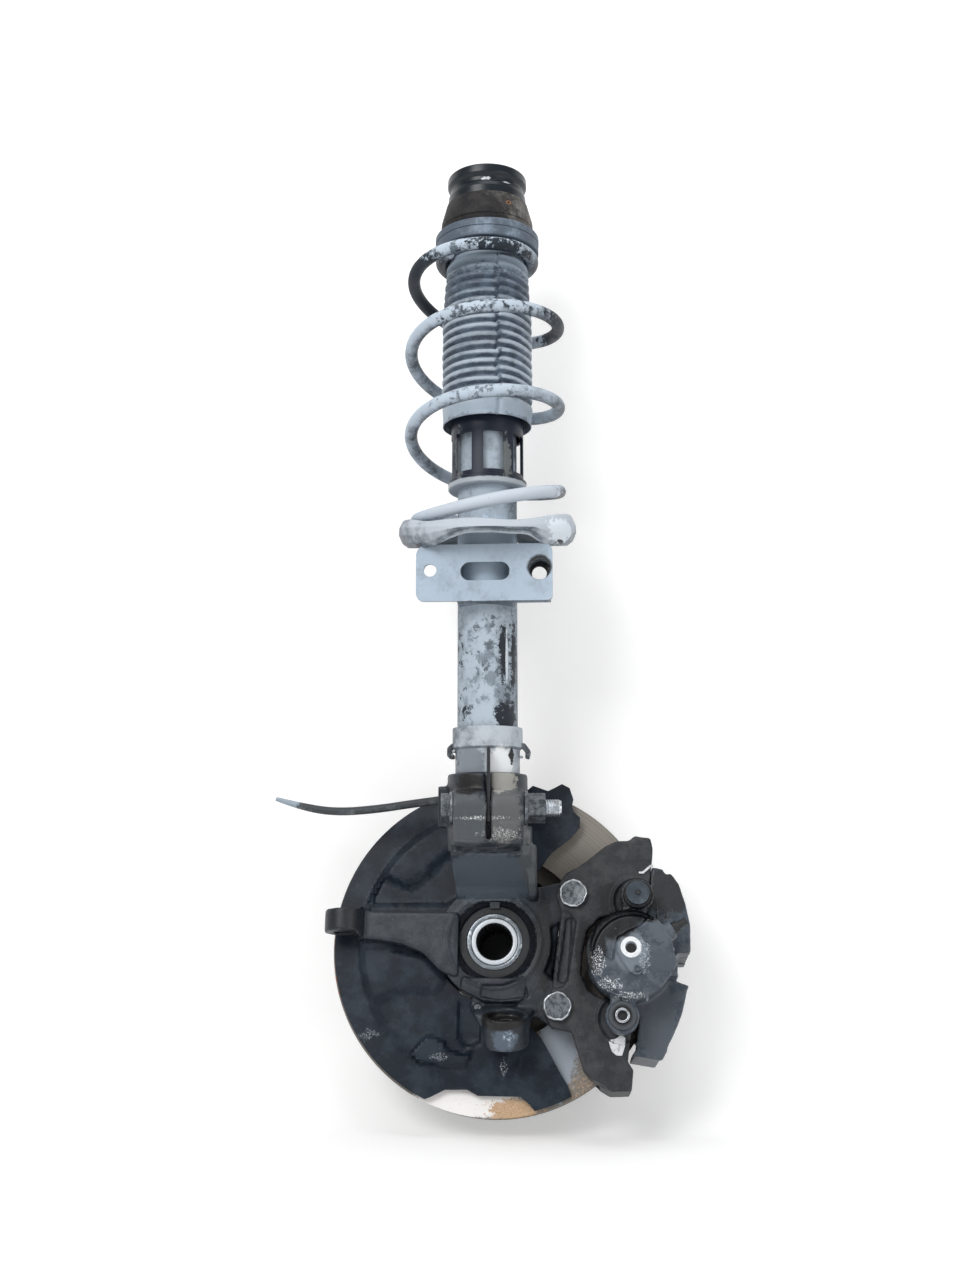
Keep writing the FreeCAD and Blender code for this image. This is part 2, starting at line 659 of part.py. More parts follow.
for index in range(int(float(window_count))):
    tool = doc.addObject("Part::Box", f"cage_window_{index}")
    set_bound(tool, "Length", window_width)
    set_bound(tool, "Width", cage_wall + 6)
    set_bound(tool, "Height", window_height)
    angle = 14 + 360 * index / int(float(window_count))
    turn = Rotation(Vector(0, 0, 1), angle)
    corner = Vector(-float(window_width) / 2, -float(cage_radius) - 3,
                    -float(cage_top) - float(window_drop) - float(window_height))
    tool.Placement = Placement(turn.multVec(corner), turn)
    window_tools.append(tool)
bellows_cage = finish(cut_piece(
    "bellows_cage", cage_ring, fuse_pieces("cage_windows", window_tools)), "bellows_cage")


# Lower spring seat: a pressed dish, tilted for the side-load spring, with lobes at its sides

lip = lower_seat_dia / 2
rest = foot_radius
dish = ring_body("lower_seat_dish", [[
    (tube_radius - 8, 3.5), (tube_radius + 4, 3.5), (rest - 10, 1.5), (rest - 5, 0), (rest + 3, 0),
    (rest + 6.5, 2), (lip - 6.5, 5.5), (lip - 3, 5), (lip - 0.8, 2.5), (lip, -1.5),
    (lip, -skirt_depth), (lip - seat_wall, -skirt_depth), (lip - seat_wall, -1.5),
    (lip - 4.5, 2), (lip - 6.5, 2.2), (rest + 7.5, -1), (rest + 3.5, -seat_wall),
    (rest - 5.5, -seat_wall), (rest - 10, -1.5), (tube_radius + 4, 0.5), (tube_radius - 8, 0.5)]])
doc.recompute()
lower_seat = dish.Shape.copy()
for side in (-1, 1):
    for left, right, rise in ((-28, 28, arch_rise), (30, 54, arch_rise - 4.5)):
        bay = rounded_wire([(left - 4, -40), (right + 4, -40), (right, float(rise) - float(skirt_depth)),
                            (left, float(rise) - float(skirt_depth))], [0.1, 0.1, 6, 6])
        cutter = Part.Face(bay).extrude(Vector(0, 0, 60))
        cutter.rotate(Vector(0, 0, 0), Vector(1, 0, 0), 90)
        cutter.translate(Vector(0, -22 if side < 0 else 82, 0))
        lower_seat = lower_seat.cut(cutter)
for x, y in ((-0.905, -0.13), (0.905, -0.13), (0.0, 0.9)):
    lower_seat = lower_seat.cut(Part.makeCylinder(
        3.2, 30, Vector(x * float(rest) * 1.09, y * float(rest), -15)))
lower_seat = placed(lower_seat, seat_frame).cut(Part.makeCylinder(
    float(tube_radius), 200, Vector(0, 0, -float(lower_seat_drop) - 100)))
shaped("lower_spring_seat", lower_seat)
doc.removeObject(dish.Name)


# Side-load spring: its end coil lies in the tilted seat, its body bows towards inboard and
# its top coil is drawn in under the pad. Turns are counted upwards from the front.

seat_slope = math.radians(float(lower_seat_tilt))
coil_floor = -float(lower_seat_drop) + float(wire_dia) / 2 / math.cos(seat_slope)
coil_roof = -float(pad_foot) - float(wire_dia) / 2
lift_turn = -0.25
lift_ease = 0.25
roof_ease = 0.3
draw_turns = 0.495
level_turns = 0.595
roof_turn = lift_turn + lift_ease / 2 + (coil_roof - coil_floor) / float(coil_pitch) + roof_ease / 2


def ease(value, start, end):
    """Nought before the start, one after the end and a smooth step between."""
    share = min(max((value - start) / (end - start), 0), 1)
    return share * share * (3 - 2 * share)


def ramp(value, width):
    """A slope of one that starts gently over the given width."""
    if value <= 0:
        return 0
    if value < width:
        return value * value / (2 * width)
    return value - width / 2


def coil_point(turn):
    angle = 2 * math.pi * turn
    opened = ease(turn, lift_turn, 0.25)
    drawn = ease(turn, roof_turn - draw_turns, roof_turn)
    radius = float(foot_radius) + (float(coil_radius) - float(foot_radius)) * opened
    radius += (float(tail_radius) - float(coil_radius)) * drawn
    if turn < 1.5:
        level = coil_floor + float(coil_pitch) * ramp(turn - lift_turn, lift_ease)
    else:
        level = coil_roof - float(coil_pitch) * ramp(roof_turn - turn, roof_ease)
    flat = 1 - ease(turn, roof_turn - level_turns, roof_turn - level_turns + 0.5)
    foot_lean = -float(foot_radius) * math.sin(seat_slope)
    lean = foot_lean + (float(coil_lean) - foot_lean) * ease(turn, lift_turn, 0.75)
    lean *= flat
    roll = float(coil_roll) * ease(turn, lift_turn, 0.2) * flat
    level += lean * math.cos(angle) - roll * math.sin(angle)
    height = min(max((turn - lift_turn) / (roof_turn - lift_turn), 0), 1)
    bow = float(coil_bow) * math.sin(math.pi * height) ** 2
    shift = float(coil_shift) * opened * (1 - drawn)
    depth = radius * (1 - (1 - math.cos(seat_slope)) * (1 - opened))
    return Vector(radius * math.sin(angle) - shift, -depth * math.cos(angle) - bow, level)


def heading(turn):
    return (coil_point(turn + 0.002) - coil_point(turn - 0.002)).normalize()


def tangent_arc(start, end, direction):
    """The arc from start to end that leaves start in the given direction."""
    chord = end - start
    along = Vector(chord).normalize()
    aside = direction - along * direction.dot(along)
    angle = direction.getAngle(along)
    middle = (start + end) / 2 + aside.normalize() * (chord.Length / 2 * math.tan(angle / 2))
    return Part.Arc(start, middle, end).toShape()


def biarc(start, start_way, end, end_way):
    """Two arcs that meet smoothly and join two points in the given directions."""
    span = end - start
    both = start_way + end_way
    spread = 2 * (1 - start_way.dot(end_way))
    reach = (math.sqrt(span.dot(both) ** 2 + spread * span.dot(span)) - span.dot(both)) / spread
    first_corner = start + start_way * reach
    second_corner = end - end_way * reach
    joint = (first_corner + second_corner) / 2
    joint_way = (second_corner - first_corner).normalize()
    return [tangent_arc(start, joint, start_way), tangent_arc(joint, end, joint_way)]


first_turn = lift_turn - 0.25
quarter_count = math.ceil((roof_turn - lift_turn) * 4)
turns = [lift_turn + (roof_turn - lift_turn) * i / quarter_count for i in range(quarter_count + 1)]
turns = [first_turn] + turns + [roof_turn + 0.25, roof_turn + 0.5, roof_turn + 0.66]
coil_edges = []
for start_turn, end_turn in zip(turns, turns[1:]):
    coil_edges += biarc(coil_point(start_turn), heading(start_turn),
                        coil_point(end_turn), heading(end_turn))
coil_path = Part.Wire(coil_edges)
wire_section = Part.Wire([Part.Circle(
    coil_point(first_turn), heading(first_turn), float(wire_dia) / 2).toShape()])
coil_spring = coil_path.makePipeShell([wire_section], True, False)
shaped("coil_spring", coil_spring)

coil_track = coil_path.discretize(Number=600)
spacing = coil_path.Length / 599
apart = int(2 * math.pi * float(tail_radius) * 0.6 / spacing)
least = min((coil_track[i] - coil_track[j]).Length
            for i in range(0, 600, 2) for j in range(i + apart, 600, 2))
print("spring: least gap between its turns", round(least - float(wire_dia), 2), "mm")


# Dust bellows

def ring_wire(radius, level):
    """A circle round the damper axis that always starts on the X axis."""
    circle = Part.Circle(Vector(0, 0, level), Vector(0, 0, 1), radius)
    return Part.Wire([circle.toShape()])


rim_drop = float(cage_top) + float(rim_overlap)
rib_start = float(neck_foot) + 6.5
rib_pitch = (rim_drop - float(bellows_collar) - rib_start) / float(rib_count)


def bellows_rings(inset):
    """Radius and drop of each circle of the bellows' skin, from its neck to its rim."""
    rings = [(float(neck_bore) / 2 - inset, float(pan_floor)),
             (float(neck_bore) / 2 - inset, float(neck_foot) + 2.5)]
    for index in range(int(float(rib_count))):
        grown = min(index / 6, 1)
        crest = float(bellows_top) / 2 + (float(bellows_dia) - float(bellows_top)) / 2 * grown
        root = crest - float(rib_depth)
        level = rib_start + rib_pitch * index
        rings += [(crest - inset, level), (crest - inset, level + 0.36 * rib_pitch),
                  (root - inset, level + 0.62 * rib_pitch), (root - inset, level + 0.78 * rib_pitch)]
    collar_drop = rim_drop - float(bellows_collar)
    rings += [(float(bellows_dia) / 2 - inset, collar_drop + 1.5),
              (float(bellows_dia) / 2 - 1.1 - inset, rim_drop - 4),
              (float(bellows_dia) / 2 - 0.6 - inset, rim_drop)]
    return rings


outer_skin = Part.makeLoft([ring_wire(r, -d) for r, d in bellows_rings(0)], True, True)
inner_rings = bellows_rings(float(bellows_wall))
inner_skin = Part.makeLoft([ring_wire(r, -d) for r, d in inner_rings], True, True)
shaped("dust_bellows", outer_skin.cut(inner_skin))


# Link bracket welded to the tube

link_top = -float(link_drop) + float(link_height) / 2
link_foot = -float(link_drop) - float(link_height) / 2
link_half = float(link_width) / 2
face = -float(link_reach)
back_wall = face + float(link_box)
link_depth = float(link_wall)


def upright(points, radii, near, far):
    """An outline seen from inboard, made solid between two distances along Y."""
    panel = Part.Face(rounded_wire(points, radii))
    panel.rotate(Vector(0, 0, 0), Vector(1, 0, 0), 90)
    panel.translate(Vector(0, near, 0))
    return panel.extrude(Vector(0, far - near, 0))


def cross_drum(radius, x, z, near, far):
    """A round solid along Y."""
    return Part.makeCylinder(float(radius), far - near, Vector(x, near, z), Vector(0, 1, 0))


plate = upright([(-link_half, link_foot), (link_half, link_foot), (link_half, link_top),
                 (-link_half, link_top)], [7, 4, 7, 9], face, face + float(link_wall))
slot_mid = link_top - 23
slot = upright(box_outline(0.8 - float(slot_width) / 2, slot_mid - float(slot_height) / 2,
                           0.8 + float(slot_width) / 2, slot_mid + float(slot_height) / 2),
               float(slot_height) / 2, face - 5, face + 10)
hole_level = link_top - 21.7
side_walls = [block(side * 21.5 - 1.5, side * 21.5 + 1.5, face + 1, -8, link_foot + 1, link_top - 1)
              for side in (-1, 1)]
rear = block(21, link_half - 2, back_wall, back_wall + float(link_wall), link_foot + 2, link_top - 3)
end_wall = block(link_half - 5, link_half - 2, face + 1, back_wall + 1, link_foot + 2, link_top - 3)
lip_plate = block(-23, 23, face + 1, -8, link_foot, link_foot + float(link_wall))
bracket = plate.multiFuse(side_walls + [rear, end_wall, lip_plate]).cut(slot)
for tool in (
        cross_drum(spare_hole / 2, -float(spare_hole_out), hole_level, face - 5, face + 10),
        cross_drum(access_hole / 2, float(access_hole_out), hole_level, face - 5, face + 10),
        cross_drum(link_hole / 2, float(link_hole_out), hole_level, back_wall, back_wall + link_depth),
        Part.makeCylinder(float(tube_radius), 200, Vector(0, 0, link_foot - 50))):
    bracket = bracket.cut(tool)
shaped("link_bracket", bracket.removeSplitter())


# Hooked collar and the fin that locates the clamp

collar_foot = collar_top + collar_length
band_foot = collar_top + collar_band
collar_rings = ring_body("collar_rings", [[
    (tube_radius, -collar_foot), (collar_low / 2, -collar_foot), (collar_low / 2, -(band_foot + 2)),
    (collar_dia / 2, -band_foot), (collar_dia / 2, -collar_top),
    (collar_dia / 2 - collar_wall, -collar_top), (collar_dia / 2 - collar_wall, -(band_foot - 1)),
    (tube_radius, -(band_foot + 1))]])
hooks = []
for side, level in ((-1, -512.7), (1, -517.3)):
    tongue = doc.addObject("Part::Box", "hook_left" if side < 0 else "hook_right")
    set_bound(tongue, "Length", hook_reach)
    set_bound(tongue, "Width", 9)
    set_bound(tongue, "Height", collar_wall)
    tip = doc.addObject("Part::Box", tongue.Name + "_tip")
    set_bound(tip, "Length", collar_wall)
    set_bound(tip, "Width", 9)
    set_bound(tip, "Height", 7)
    left = 27.0 if side > 0 else -27.0 - float(hook_reach)
    tongue.Placement = Placement(Vector(left, -6, level - 2.5), Rotation())
    tip_left = left + float(hook_reach) - float(collar_wall) if side > 0 else left
    tip.Placement = Placement(Vector(tip_left, -6, level - 2.5), Rotation())
    hooks += [tongue, tip]
tube_collar = finish(fuse_pieces("tube_collar", [collar_rings] + hooks), "tube_collar")

fin_low = -(fin_top + fin_length)
fin_plate = plate_body("fin_plate", [box_outline(
    -(tube_radius + fin_reach), fin_low, -(tube_radius - 2), -fin_top)], fin_wall,
    Placement(), "YZ_Plane")
fin_plate.Placement = clamp_frame.multiply(Placement(Vector(-float(fin_wall) / 2, 0, 0), Rotation()))
across_x = Rotation(Vector(0, 1, 0), 90)
fin_drill = rod_piece("fin_drill", pinch_dia / 2 + bolt_gap, 20)
fin_drill.Placement = clamp_frame.multiply(Placement(
    Vector(-10, -float(pinch_reach), -float(pinch_drop)), across_x))
fin_seat = fuse_pieces("fin_seat", [
    rod_piece("fin_seat_tube", tube_radius, 100, (0, 0, -(fin_top + 80))),
    rod_piece("fin_seat_collar", collar_low / 2, 60, (0, 0, -collar_foot))])
locating_fin = finish(cut_piece(
    "locating_fin", cut_piece("fin_drilled", fin_plate, fin_drill), fin_seat), "locating_fin")


# Course of the speed sensor's lead, out of its grommet on the clamp's left shoulder

lead_course = [(-34, 33, 18.5), (-62, 31, 22), (-98, 30, 27.5),
               (-134, 30, 30), (-164, 30, 25), (-187, 30, 18)]
lead_points = [Vector(x, y, -float(clamp_top) - below) for x, y, below in lead_course]
lead_start = (lead_points[1] - lead_points[0]).normalize()


def grommet_blank():
    """A round grommet with a narrower sleeve round the lead."""
    body = Part.makeCylinder(float(probe_dia) / 2, 12, lead_points[0] + lead_start * 3, lead_start * -1)
    return body.fuse(Part.makeCylinder(6.5, 9, lead_points[0], lead_start))


# Steering knuckle

clamp_foot = float(clamp_top) + float(clamp_depth)
clamp_outer = float(tube_radius) + float(clamp_wall)
fall = math.radians(float(hub_tilt))
boss_radius = float(boss_dia) / 2


def at_hub(x, y, depth):
    """A point of the hub frame, given by its depth outboard of the boss face, in the frame."""
    return hub_frame.multVec(Vector(float(x), float(y), -float(depth)))


clamp = Part.makeCylinder(clamp_outer, float(clamp_depth), Vector(0, 0, -clamp_foot))
lug_top = -float(clamp_top) - 14.5
lug_foot = -float(clamp_top) - 59.5
lugs = Part.Face(rounded_wire(
    [(-float(lug_reach), lug_foot), (-10, lug_foot), (-10, lug_top), (-float(lug_reach), lug_top)],
    [9, 1, 1, 12]))
lugs.rotate(Vector(0, 0, 0), Vector(1, 1, 1), 120)
lugs.translate(Vector(-float(lug_half), 0, 0))
lugs = lugs.extrude(Vector(2 * float(lug_half), 0, 0))
pinch_axis = Vector(-60, -float(pinch_reach), -float(pinch_drop))
pads_round = Part.makeCylinder(14.5, 2 * float(lug_half) + 1.6, Vector(
    -float(lug_half) - 0.8, -float(pinch_reach), -float(pinch_drop)), Vector(1, 0, 0))
shoulder = block(-41, -20, -8, 24, -clamp_foot + 20, -float(clamp_top) - 10)
shoulder = shoulder.fuse(Part.makeCylinder(8, 26, Vector(-33, 24, -clamp_foot + 28)))
head = clamp.multiFuse([placed(lugs, clamp_frame), placed(pads_round, clamp_frame), shoulder])


def wedge(points, left, right):
    """An outline seen from the side, in Y and Z, made solid between two X."""
    panel = Part.Face(Part.makePolygon([Vector(left, y, z) for y, z in points + points[:1]]))
    return panel.extrude(Vector(right - left, 0, 0))


behind_neck = drum(200, shield_set - 0.8, 80).cut(drum(boss_radius, 0, 90))
neck_side = [(y, -clamp_foot + rise) for y, rise in (
    (-25, 5.5), (-23, -2.5), (-4, -14.5), (20, -28.5), (36, -42.5), (56, -46.5))]
neck_side += [(at_hub(0, 60, 12).y, at_hub(0, 60, 12).z)]
neck_side += [(y, -clamp_foot + rise) for y, rise in ((36, -0.5), (33, 22.5), (0, 17.5))]
neck = wedge(neck_side, -29, 36)
side_rib = [(y, -clamp_foot + rise) for y, rise in (
    (-13, 6), (-10, -8), (4, -26), (20, -37), (34, -42), (34, 2), (20, 6))]
neck = neck.fuse(wedge(side_rib, 33, 40)).cut(placed(behind_neck, hub_frame))
ring = drum(boss_radius, 0, boss_depth)

arm_half = float(arm_height) / 2
arm_line = slab(rounded_wire(
    [(-30, 23), (-100, 23), (-float(arm_reach) + 4, 27), (-float(arm_reach) + 4, 2),
     (-95, 0), (-78, -3), (-60, -10), (-44, -26), (-30, -30)],
    [2, 30, 1, 1, 20, 20, 20, 20, 2]), -4, 11.5)
arm_end = Part.makeCylinder(float(tie_bore) / 2 + 9, float(tie_boss),
                            Vector(-float(arm_reach), 1, 6), Vector(0, 1, 0))
arm_end = arm_end.cut(block(-200, -float(arm_reach) - 17, -10, 40, -40, 40))

joint_way = Vector(0, math.cos(math.radians(float(joint_lean))), math.sin(math.radians(float(joint_lean))))
joint_mouth = Vector(float(joint_out), -float(joint_low), float(joint_in))
joint_foot = joint_mouth - joint_way * float(joint_depth)
joint_outer = Part.makeCylinder(float(joint_boss) / 2, float(joint_depth), joint_foot, joint_way)
toe = slab(rounded_wire(
    [(-31, -34), (float(joint_out) - 18.5, -74), (float(joint_out) - 18.5, -86),
     (float(joint_out) + 18.5, -86), (float(joint_out) + 18.5, -70), (39, -28)],
    [2, 8, 9, 9, 8, 2]), -15, 11.5)
for start, low, high in ((joint_mouth - joint_way * 2, 0, 60), (joint_foot, -60, 0)):
    toe = toe.cut(placed(block(-80, 80, low, high, -80, 80), Placement(
        start, Rotation(Vector(1, 0, 0), float(joint_lean)))))
ledge = slab(rounded_wire([(-27, -30), (-27, -40), (-14, -46), (-8, -50), (22, -50), (26, -44), (26, -30)],
                          2), -3, 6)

caliper_in_hub = turned(Vector(0, 0, 1), caliper_turn)
ears = []
for side in (-1, 1):
    ear = drum(14.5, 0, 14, carrier_bolt_out, side * float(carrier_bolt_half))
    web = slab(rounded_wire([
        (20, side * 36), (28, side * 50), (float(carrier_bolt_out) - 4, side * 60.5),
        (float(carrier_bolt_out) + 12, side * 38), (44, side * 18)], 2), 0, 14)
    ears += [placed(ear, caliper_in_hub), placed(web, caliper_in_hub)]

screw_angles = [78, 172, 256]
screw_circle = boss_radius + 7.5
tabs = []
for angle in screw_angles:
    way = Vector(math.cos(math.radians(angle)), math.sin(math.radians(angle)), 0)
    tab = drum(6.5, 4, shield_set, way.x * screw_circle, way.y * screw_circle)
    bridge_tab = placed(side_block(boss_radius - 4, screw_circle, -6.5, 6.5, 4, shield_set),
                        turned(Vector(0, 0, 1), angle))
    tabs += [tab, bridge_tab]

lower = ring.multiFuse([arm_line, arm_end, joint_outer, toe, ledge] + ears + tabs)
knuckle = placed(lower, hub_frame).multiFuse([head, neck])
hollow = [
    grommet_blank(),
    Part.makeCylinder(float(tube_radius), 90, Vector(0, 0, -float(tube_foot))),
    placed(block(-float(slit_width) / 2, float(slit_width) / 2, -80, 0,
                 -float(clamp_top) - 55, -float(clamp_top) + 10), clamp_frame),
    placed(Part.makeCylinder(float(pinch_dia) / 2 + float(bolt_gap), 140, pinch_axis,
                             Vector(1, 0, 0)), clamp_frame)]
bearing_back = float(bearing_inset) + float(bearing_width)
hub_cuts = [
    drum(float(bearing_dia) / 2, -1, bearing_back),
    drum(float(bearing_dia) / 2 - 3, -1, float(boss_depth) + 1),
    drum(float(bearing_dia) / 2 + 1.6, float(bearing_inset) - float(clip_wall), bearing_inset),
    Part.makeCone(float(bearing_dia) / 2 + 2.5, float(bearing_dia) / 2 - 0.5, 3, Vector(0, 0, 0),
                  Vector(0, 0, -1)),
    Part.makeCylinder(float(tie_bore) / 2, 60, Vector(-float(arm_reach), -10, 6), Vector(0, 1, 0)),
    Part.makeCylinder(float(joint_bore) / 2, 90, joint_mouth - joint_way * 60, joint_way),
    Part.makeCylinder(float(joint_cup) / 2, 20, joint_mouth - joint_way * 7, joint_way)]
for side in (-1, 1):
    hub_cuts.append(placed(drum(float(carrier_bolt_dia) / 2, -1, 20, carrier_bolt_out,
                                side * float(carrier_bolt_half)), caliper_in_hub))
for angle in screw_angles:
    hub_cuts.append(drum(3, 0, 20, screw_circle * math.cos(math.radians(angle)),
                         screw_circle * math.sin(math.radians(angle))))
knuckle = knuckle.cut(Part.makeCompound(hollow + [placed(tool, hub_frame) for tool in hub_cuts]))
shaped("steering_knuckle", knuckle.removeSplitter())


# Pinch bolt and nut

bolt_start = -(lug_half + 0.8)
grip = 2 * (lug_half + 0.8)
bolt_frame = clamp_frame.multiply(Placement(
    Vector(float(bolt_start), -float(pinch_reach), -float(pinch_drop)), across_x))
bolt_shank = ring_body("pinch_shank", [[
    (0, -2.5), (pinch_dia / 2 + 6, -2.5), (pinch_dia / 2 + 6.5, 0), (pinch_dia / 2, 0),
    (pinch_dia / 2, grip + pinch_tail - 1.5), (pinch_dia / 2 - 1.5, grip + pinch_tail),
    (0, grip + pinch_tail)]])
bolt_head = hex_piece("pinch_head", nut_across, head_depth - 2.5, (0, 0, -head_depth))
pinch_bolt = finish(fuse_pieces("pinch_bolt", [bolt_shank, bolt_head]), "pinch_bolt")
pinch_bolt.Placement = bolt_frame

nut_flange = ring_body("pinch_nut_flange", [[
    (0, 0), (pinch_dia / 2 + 7.2, 0), (pinch_dia / 2 + 6.6, 2.6), (pinch_dia / 2 + 3, 3.6), (0, 3.6)]])
nut_hexagon = hex_piece("pinch_nut_hexagon", nut_across, pinch_nut_depth - 2, (0, 0, 2))
nut_thread = rod_piece("pinch_nut_thread", pinch_dia / 2, 40, (0, 0, -5))
pinch_nut = finish(cut_piece(
    "pinch_nut", fuse_pieces("pinch_nut_blank", [nut_flange, nut_hexagon]), nut_thread), "pinch_nut")
pinch_nut.Placement = bolt_frame.multiply(Placement(Vector(0, 0, float(grip)), Rotation()))


# Wheel bearing

ball_radius = wheel_ball / 2
outer_land = bearing_dia / 2 - ring_wall
inner_land = bearing_bore / 2 + ring_wall
ball_circle = outer_land + inner_land
row_near = bearing_inset + bearing_width / 2 - 8.5
row_far = bearing_inset + bearing_width / 2 + 8.5
ring_back = bearing_inset + bearing_width
race_floor = ball_circle / 2 + ball_radius + free_gap / 2
race_foot = ball_circle / 2 - ball_radius

bearing_outer_ring = finish(ring_body("bearing_outer_ring", [[
    (bearing_dia / 2, -bearing_inset), (bearing_dia / 2, -ring_back), (outer_land, -ring_back),
    (outer_land, -(row_far + ball_radius + 0.3)), (race_floor, -(row_far + 1.5)),
    (race_floor, -(row_far - 1.5)), (outer_land, -(row_far - ball_radius - 0.3)),
    (outer_land, -(row_near + ball_radius + 0.3)), (race_floor, -(row_near + 1.5)),
    (race_floor, -(row_near - 1.5)), (outer_land, -(row_near - ball_radius - 0.3)),
    (outer_land, -bearing_inset)]], hub_frame), "bearing_outer_ring")

bearing_inner_ring = finish(ring_body("bearing_inner_ring", [[
    (bearing_bore / 2, -bearing_inset), (inner_land, -bearing_inset), (inner_land, -(row_near - 3.2)),
    (race_foot, -(row_near - 1)), (race_foot, -(row_near + 1)), (inner_land, -(row_near + 3.2)),
    (inner_land, -(row_far - 3.2)), (race_foot, -(row_far - 1)), (race_foot, -(row_far + 1)),
    (inner_land, -(row_far + 3.2)), (inner_land, -ring_back),
    (bearing_bore / 2, -ring_back)]], hub_frame), "bearing_inner_ring")

shaped("wheel_bearing_balls", Part.makeCompound(
    ball_row(ball_count, ball_circle, wheel_ball, -row_near)
    + ball_row(ball_count, ball_circle, wheel_ball, -row_far)), hub_frame)

seal_lip = inner_land + running_gap
near_seal = ring_body("bearing_seal_near", [box_outline(
    seal_lip, -(bearing_inset + 2.6), outer_land, -(bearing_inset + 0.8))])
far_seal = ring_body("bearing_seal_far", [box_outline(
    seal_lip, -(ring_back - 0.8), outer_land, -(ring_back - 2.6))])
bearing_seals = finish(group_pieces("bearing_seals", [near_seal, far_seal]), "bearing_seals")
bearing_seals.Placement = hub_frame

clip_ring = ring_body("bearing_clip_ring", [box_outline(
    bearing_dia / 2 - 3.6, -bearing_inset, bearing_dia / 2 + 1.4, -(bearing_inset - clip_wall))])
clip_gap = doc.addObject("Part::Box", "bearing_clip_gap")
set_bound(clip_gap, "Length", 9)
set_bound(clip_gap, "Width", 20)
set_bound(clip_gap, "Height", 10)
clip_gap.Placement = turned(Vector(0, 0, 1), 215).multiply(Placement(Vector(-4.5, 25, -6), Rotation()))
bearing_clip = finish(cut_piece("bearing_clip", clip_ring, clip_gap), "bearing_clip")
bearing_clip.Placement = hub_frame


# Wheel hub

flange_back = flange_set + hub_flange_wall
hub_turning = ring_body("hub_turning", [[
    (spline_bore / 2, -(bearing_inset - 1)), (bearing_bore / 2, -(bearing_inset - 1)),
    (bearing_bore / 2, -ring_back), (inner_land + 2, -ring_back), (inner_land + 3.5, -(flange_set - 1.5)),
    (inner_land + 6, -flange_set), (hub_flange / 2, -flange_set), (hub_flange / 2, -flange_back),
    (spigot_dia / 2, -flange_back), (spigot_dia / 2, -(flange_back + hat_wall - 0.3)),
    (pilot_dia / 2, -(flange_back + hat_wall - 0.3)),
    (pilot_dia / 2, -(flange_back + hat_wall + pilot_depth - 1)),
    (pilot_dia / 2 - 1, -(flange_back + hat_wall + pilot_depth)),
    (spline_bore / 2 + 5, -(flange_back + hat_wall + pilot_depth)),
    (spline_bore / 2 + 5, -flange_back), (spline_bore / 2, -flange_back)]])


def bolt_tools(name, radius, base, height):
    """One drill for each wheel bolt."""
    tools = []
    for index in range(int(float(wheel_bolts))):
        angle = math.pi / 2 + 2 * math.pi * index / int(float(wheel_bolts))
        tools.append(rod_piece(f"{name}_{index}", radius, height, (
            bolt_circle / 2 * math.cos(angle), bolt_circle / 2 * math.sin(angle), base)))
    return tools


screw_angle = math.radians(90 + 36)
screw_spot = (bolt_circle / 2 * math.cos(screw_angle), bolt_circle / 2 * math.sin(screw_angle))
hub_tools = bolt_tools("hub_bolt_hole", wheel_thread / 2, -(flange_back + 1), hub_flange_wall + 2)
hub_tools.append(rod_piece("hub_screw_hole", 3, hub_flange_wall + 2, (*screw_spot, -(flange_back + 1))))
wheel_hub = finish(cut_piece("wheel_hub", hub_turning, fuse_pieces("hub_drills", hub_tools)), "wheel_hub")
wheel_hub.Placement = hub_frame

plug_radius = spline_bore / 2 + 5 - running_gap
plug_set = flange_back + 1
hub_plug = finish(ring_body("hub_plug", [[
    (0, -plug_set), (plug_radius - 3, -plug_set), (plug_radius - 1, -(plug_set + 0.4)),
    (plug_radius, -(plug_set + 2)), (plug_radius, -(plug_set + plug_rim)),
    (plug_radius - plug_wall, -(plug_set + plug_rim)), (plug_radius - plug_wall, -(plug_set + 2.4)),
    (plug_radius - 3, -(plug_set + plug_wall)), (0, -(plug_set + plug_wall))]], hub_frame), "hub_plug")


# Vented brake disc: two friction rings joined by vanes, hung from the hat by the outboard ring

disc_radius = disc_dia / 2
disc_back = disc_set + disc_wall
hat_face = flange_back + hat_wall
hat_ring = ring_body("disc_hat", [[
    (cheek_bore / 2 - 2, -(disc_back - cheek_wall)), (disc_radius, -(disc_back - cheek_wall)),
    (disc_radius, -disc_back), (hat_dia / 2, -disc_back), (hat_dia / 2, -(hat_face - 3)),
    (hat_dia / 2 - 3, -hat_face), (spigot_dia / 2 + running_gap, -hat_face),
    (spigot_dia / 2 + running_gap, -flange_back), (hat_dia / 2 - hat_wall, -flange_back),
    (hat_dia / 2 - hat_wall, -(disc_back - cheek_wall - 1)),
    (cheek_bore / 2 - 5, -(disc_back - cheek_wall - 1))]])
near_ring = ring_body("disc_near_ring", [box_outline(
    cheek_bore / 2, -(disc_set + cheek_wall), disc_radius, -disc_set)])
vanes = []
for index in range(int(float(vane_count))):
    vane = side_block(cheek_bore / 2 + 3, disc_radius - 2.5, -float(vane_wall) / 2,
                      float(vane_wall) / 2, disc_set + cheek_wall - 0.5, disc_back - cheek_wall + 0.5)
    vane.rotate(Vector(0, 0, 0), Vector(0, 0, 1), 360 * index / float(vane_count))
    vanes.append(vane)
vane_ring = doc.addObject("Part::Feature", "disc_vanes")
vane_ring.Shape = Part.makeCompound(vanes)
disc_tools = bolt_tools("disc_bolt_hole", wheel_hole / 2, -(hat_face + 1), hat_wall + 2)
disc_tools.append(rod_piece("disc_screw_hole", 3.3, hat_wall + 2, (*screw_spot, -(hat_face + 1))))
brake_disc = finish(cut_piece(
    "brake_disc", fuse_pieces("disc_blank", [hat_ring, near_ring, vane_ring]),
    fuse_pieces("disc_drills", disc_tools)), "brake_disc")
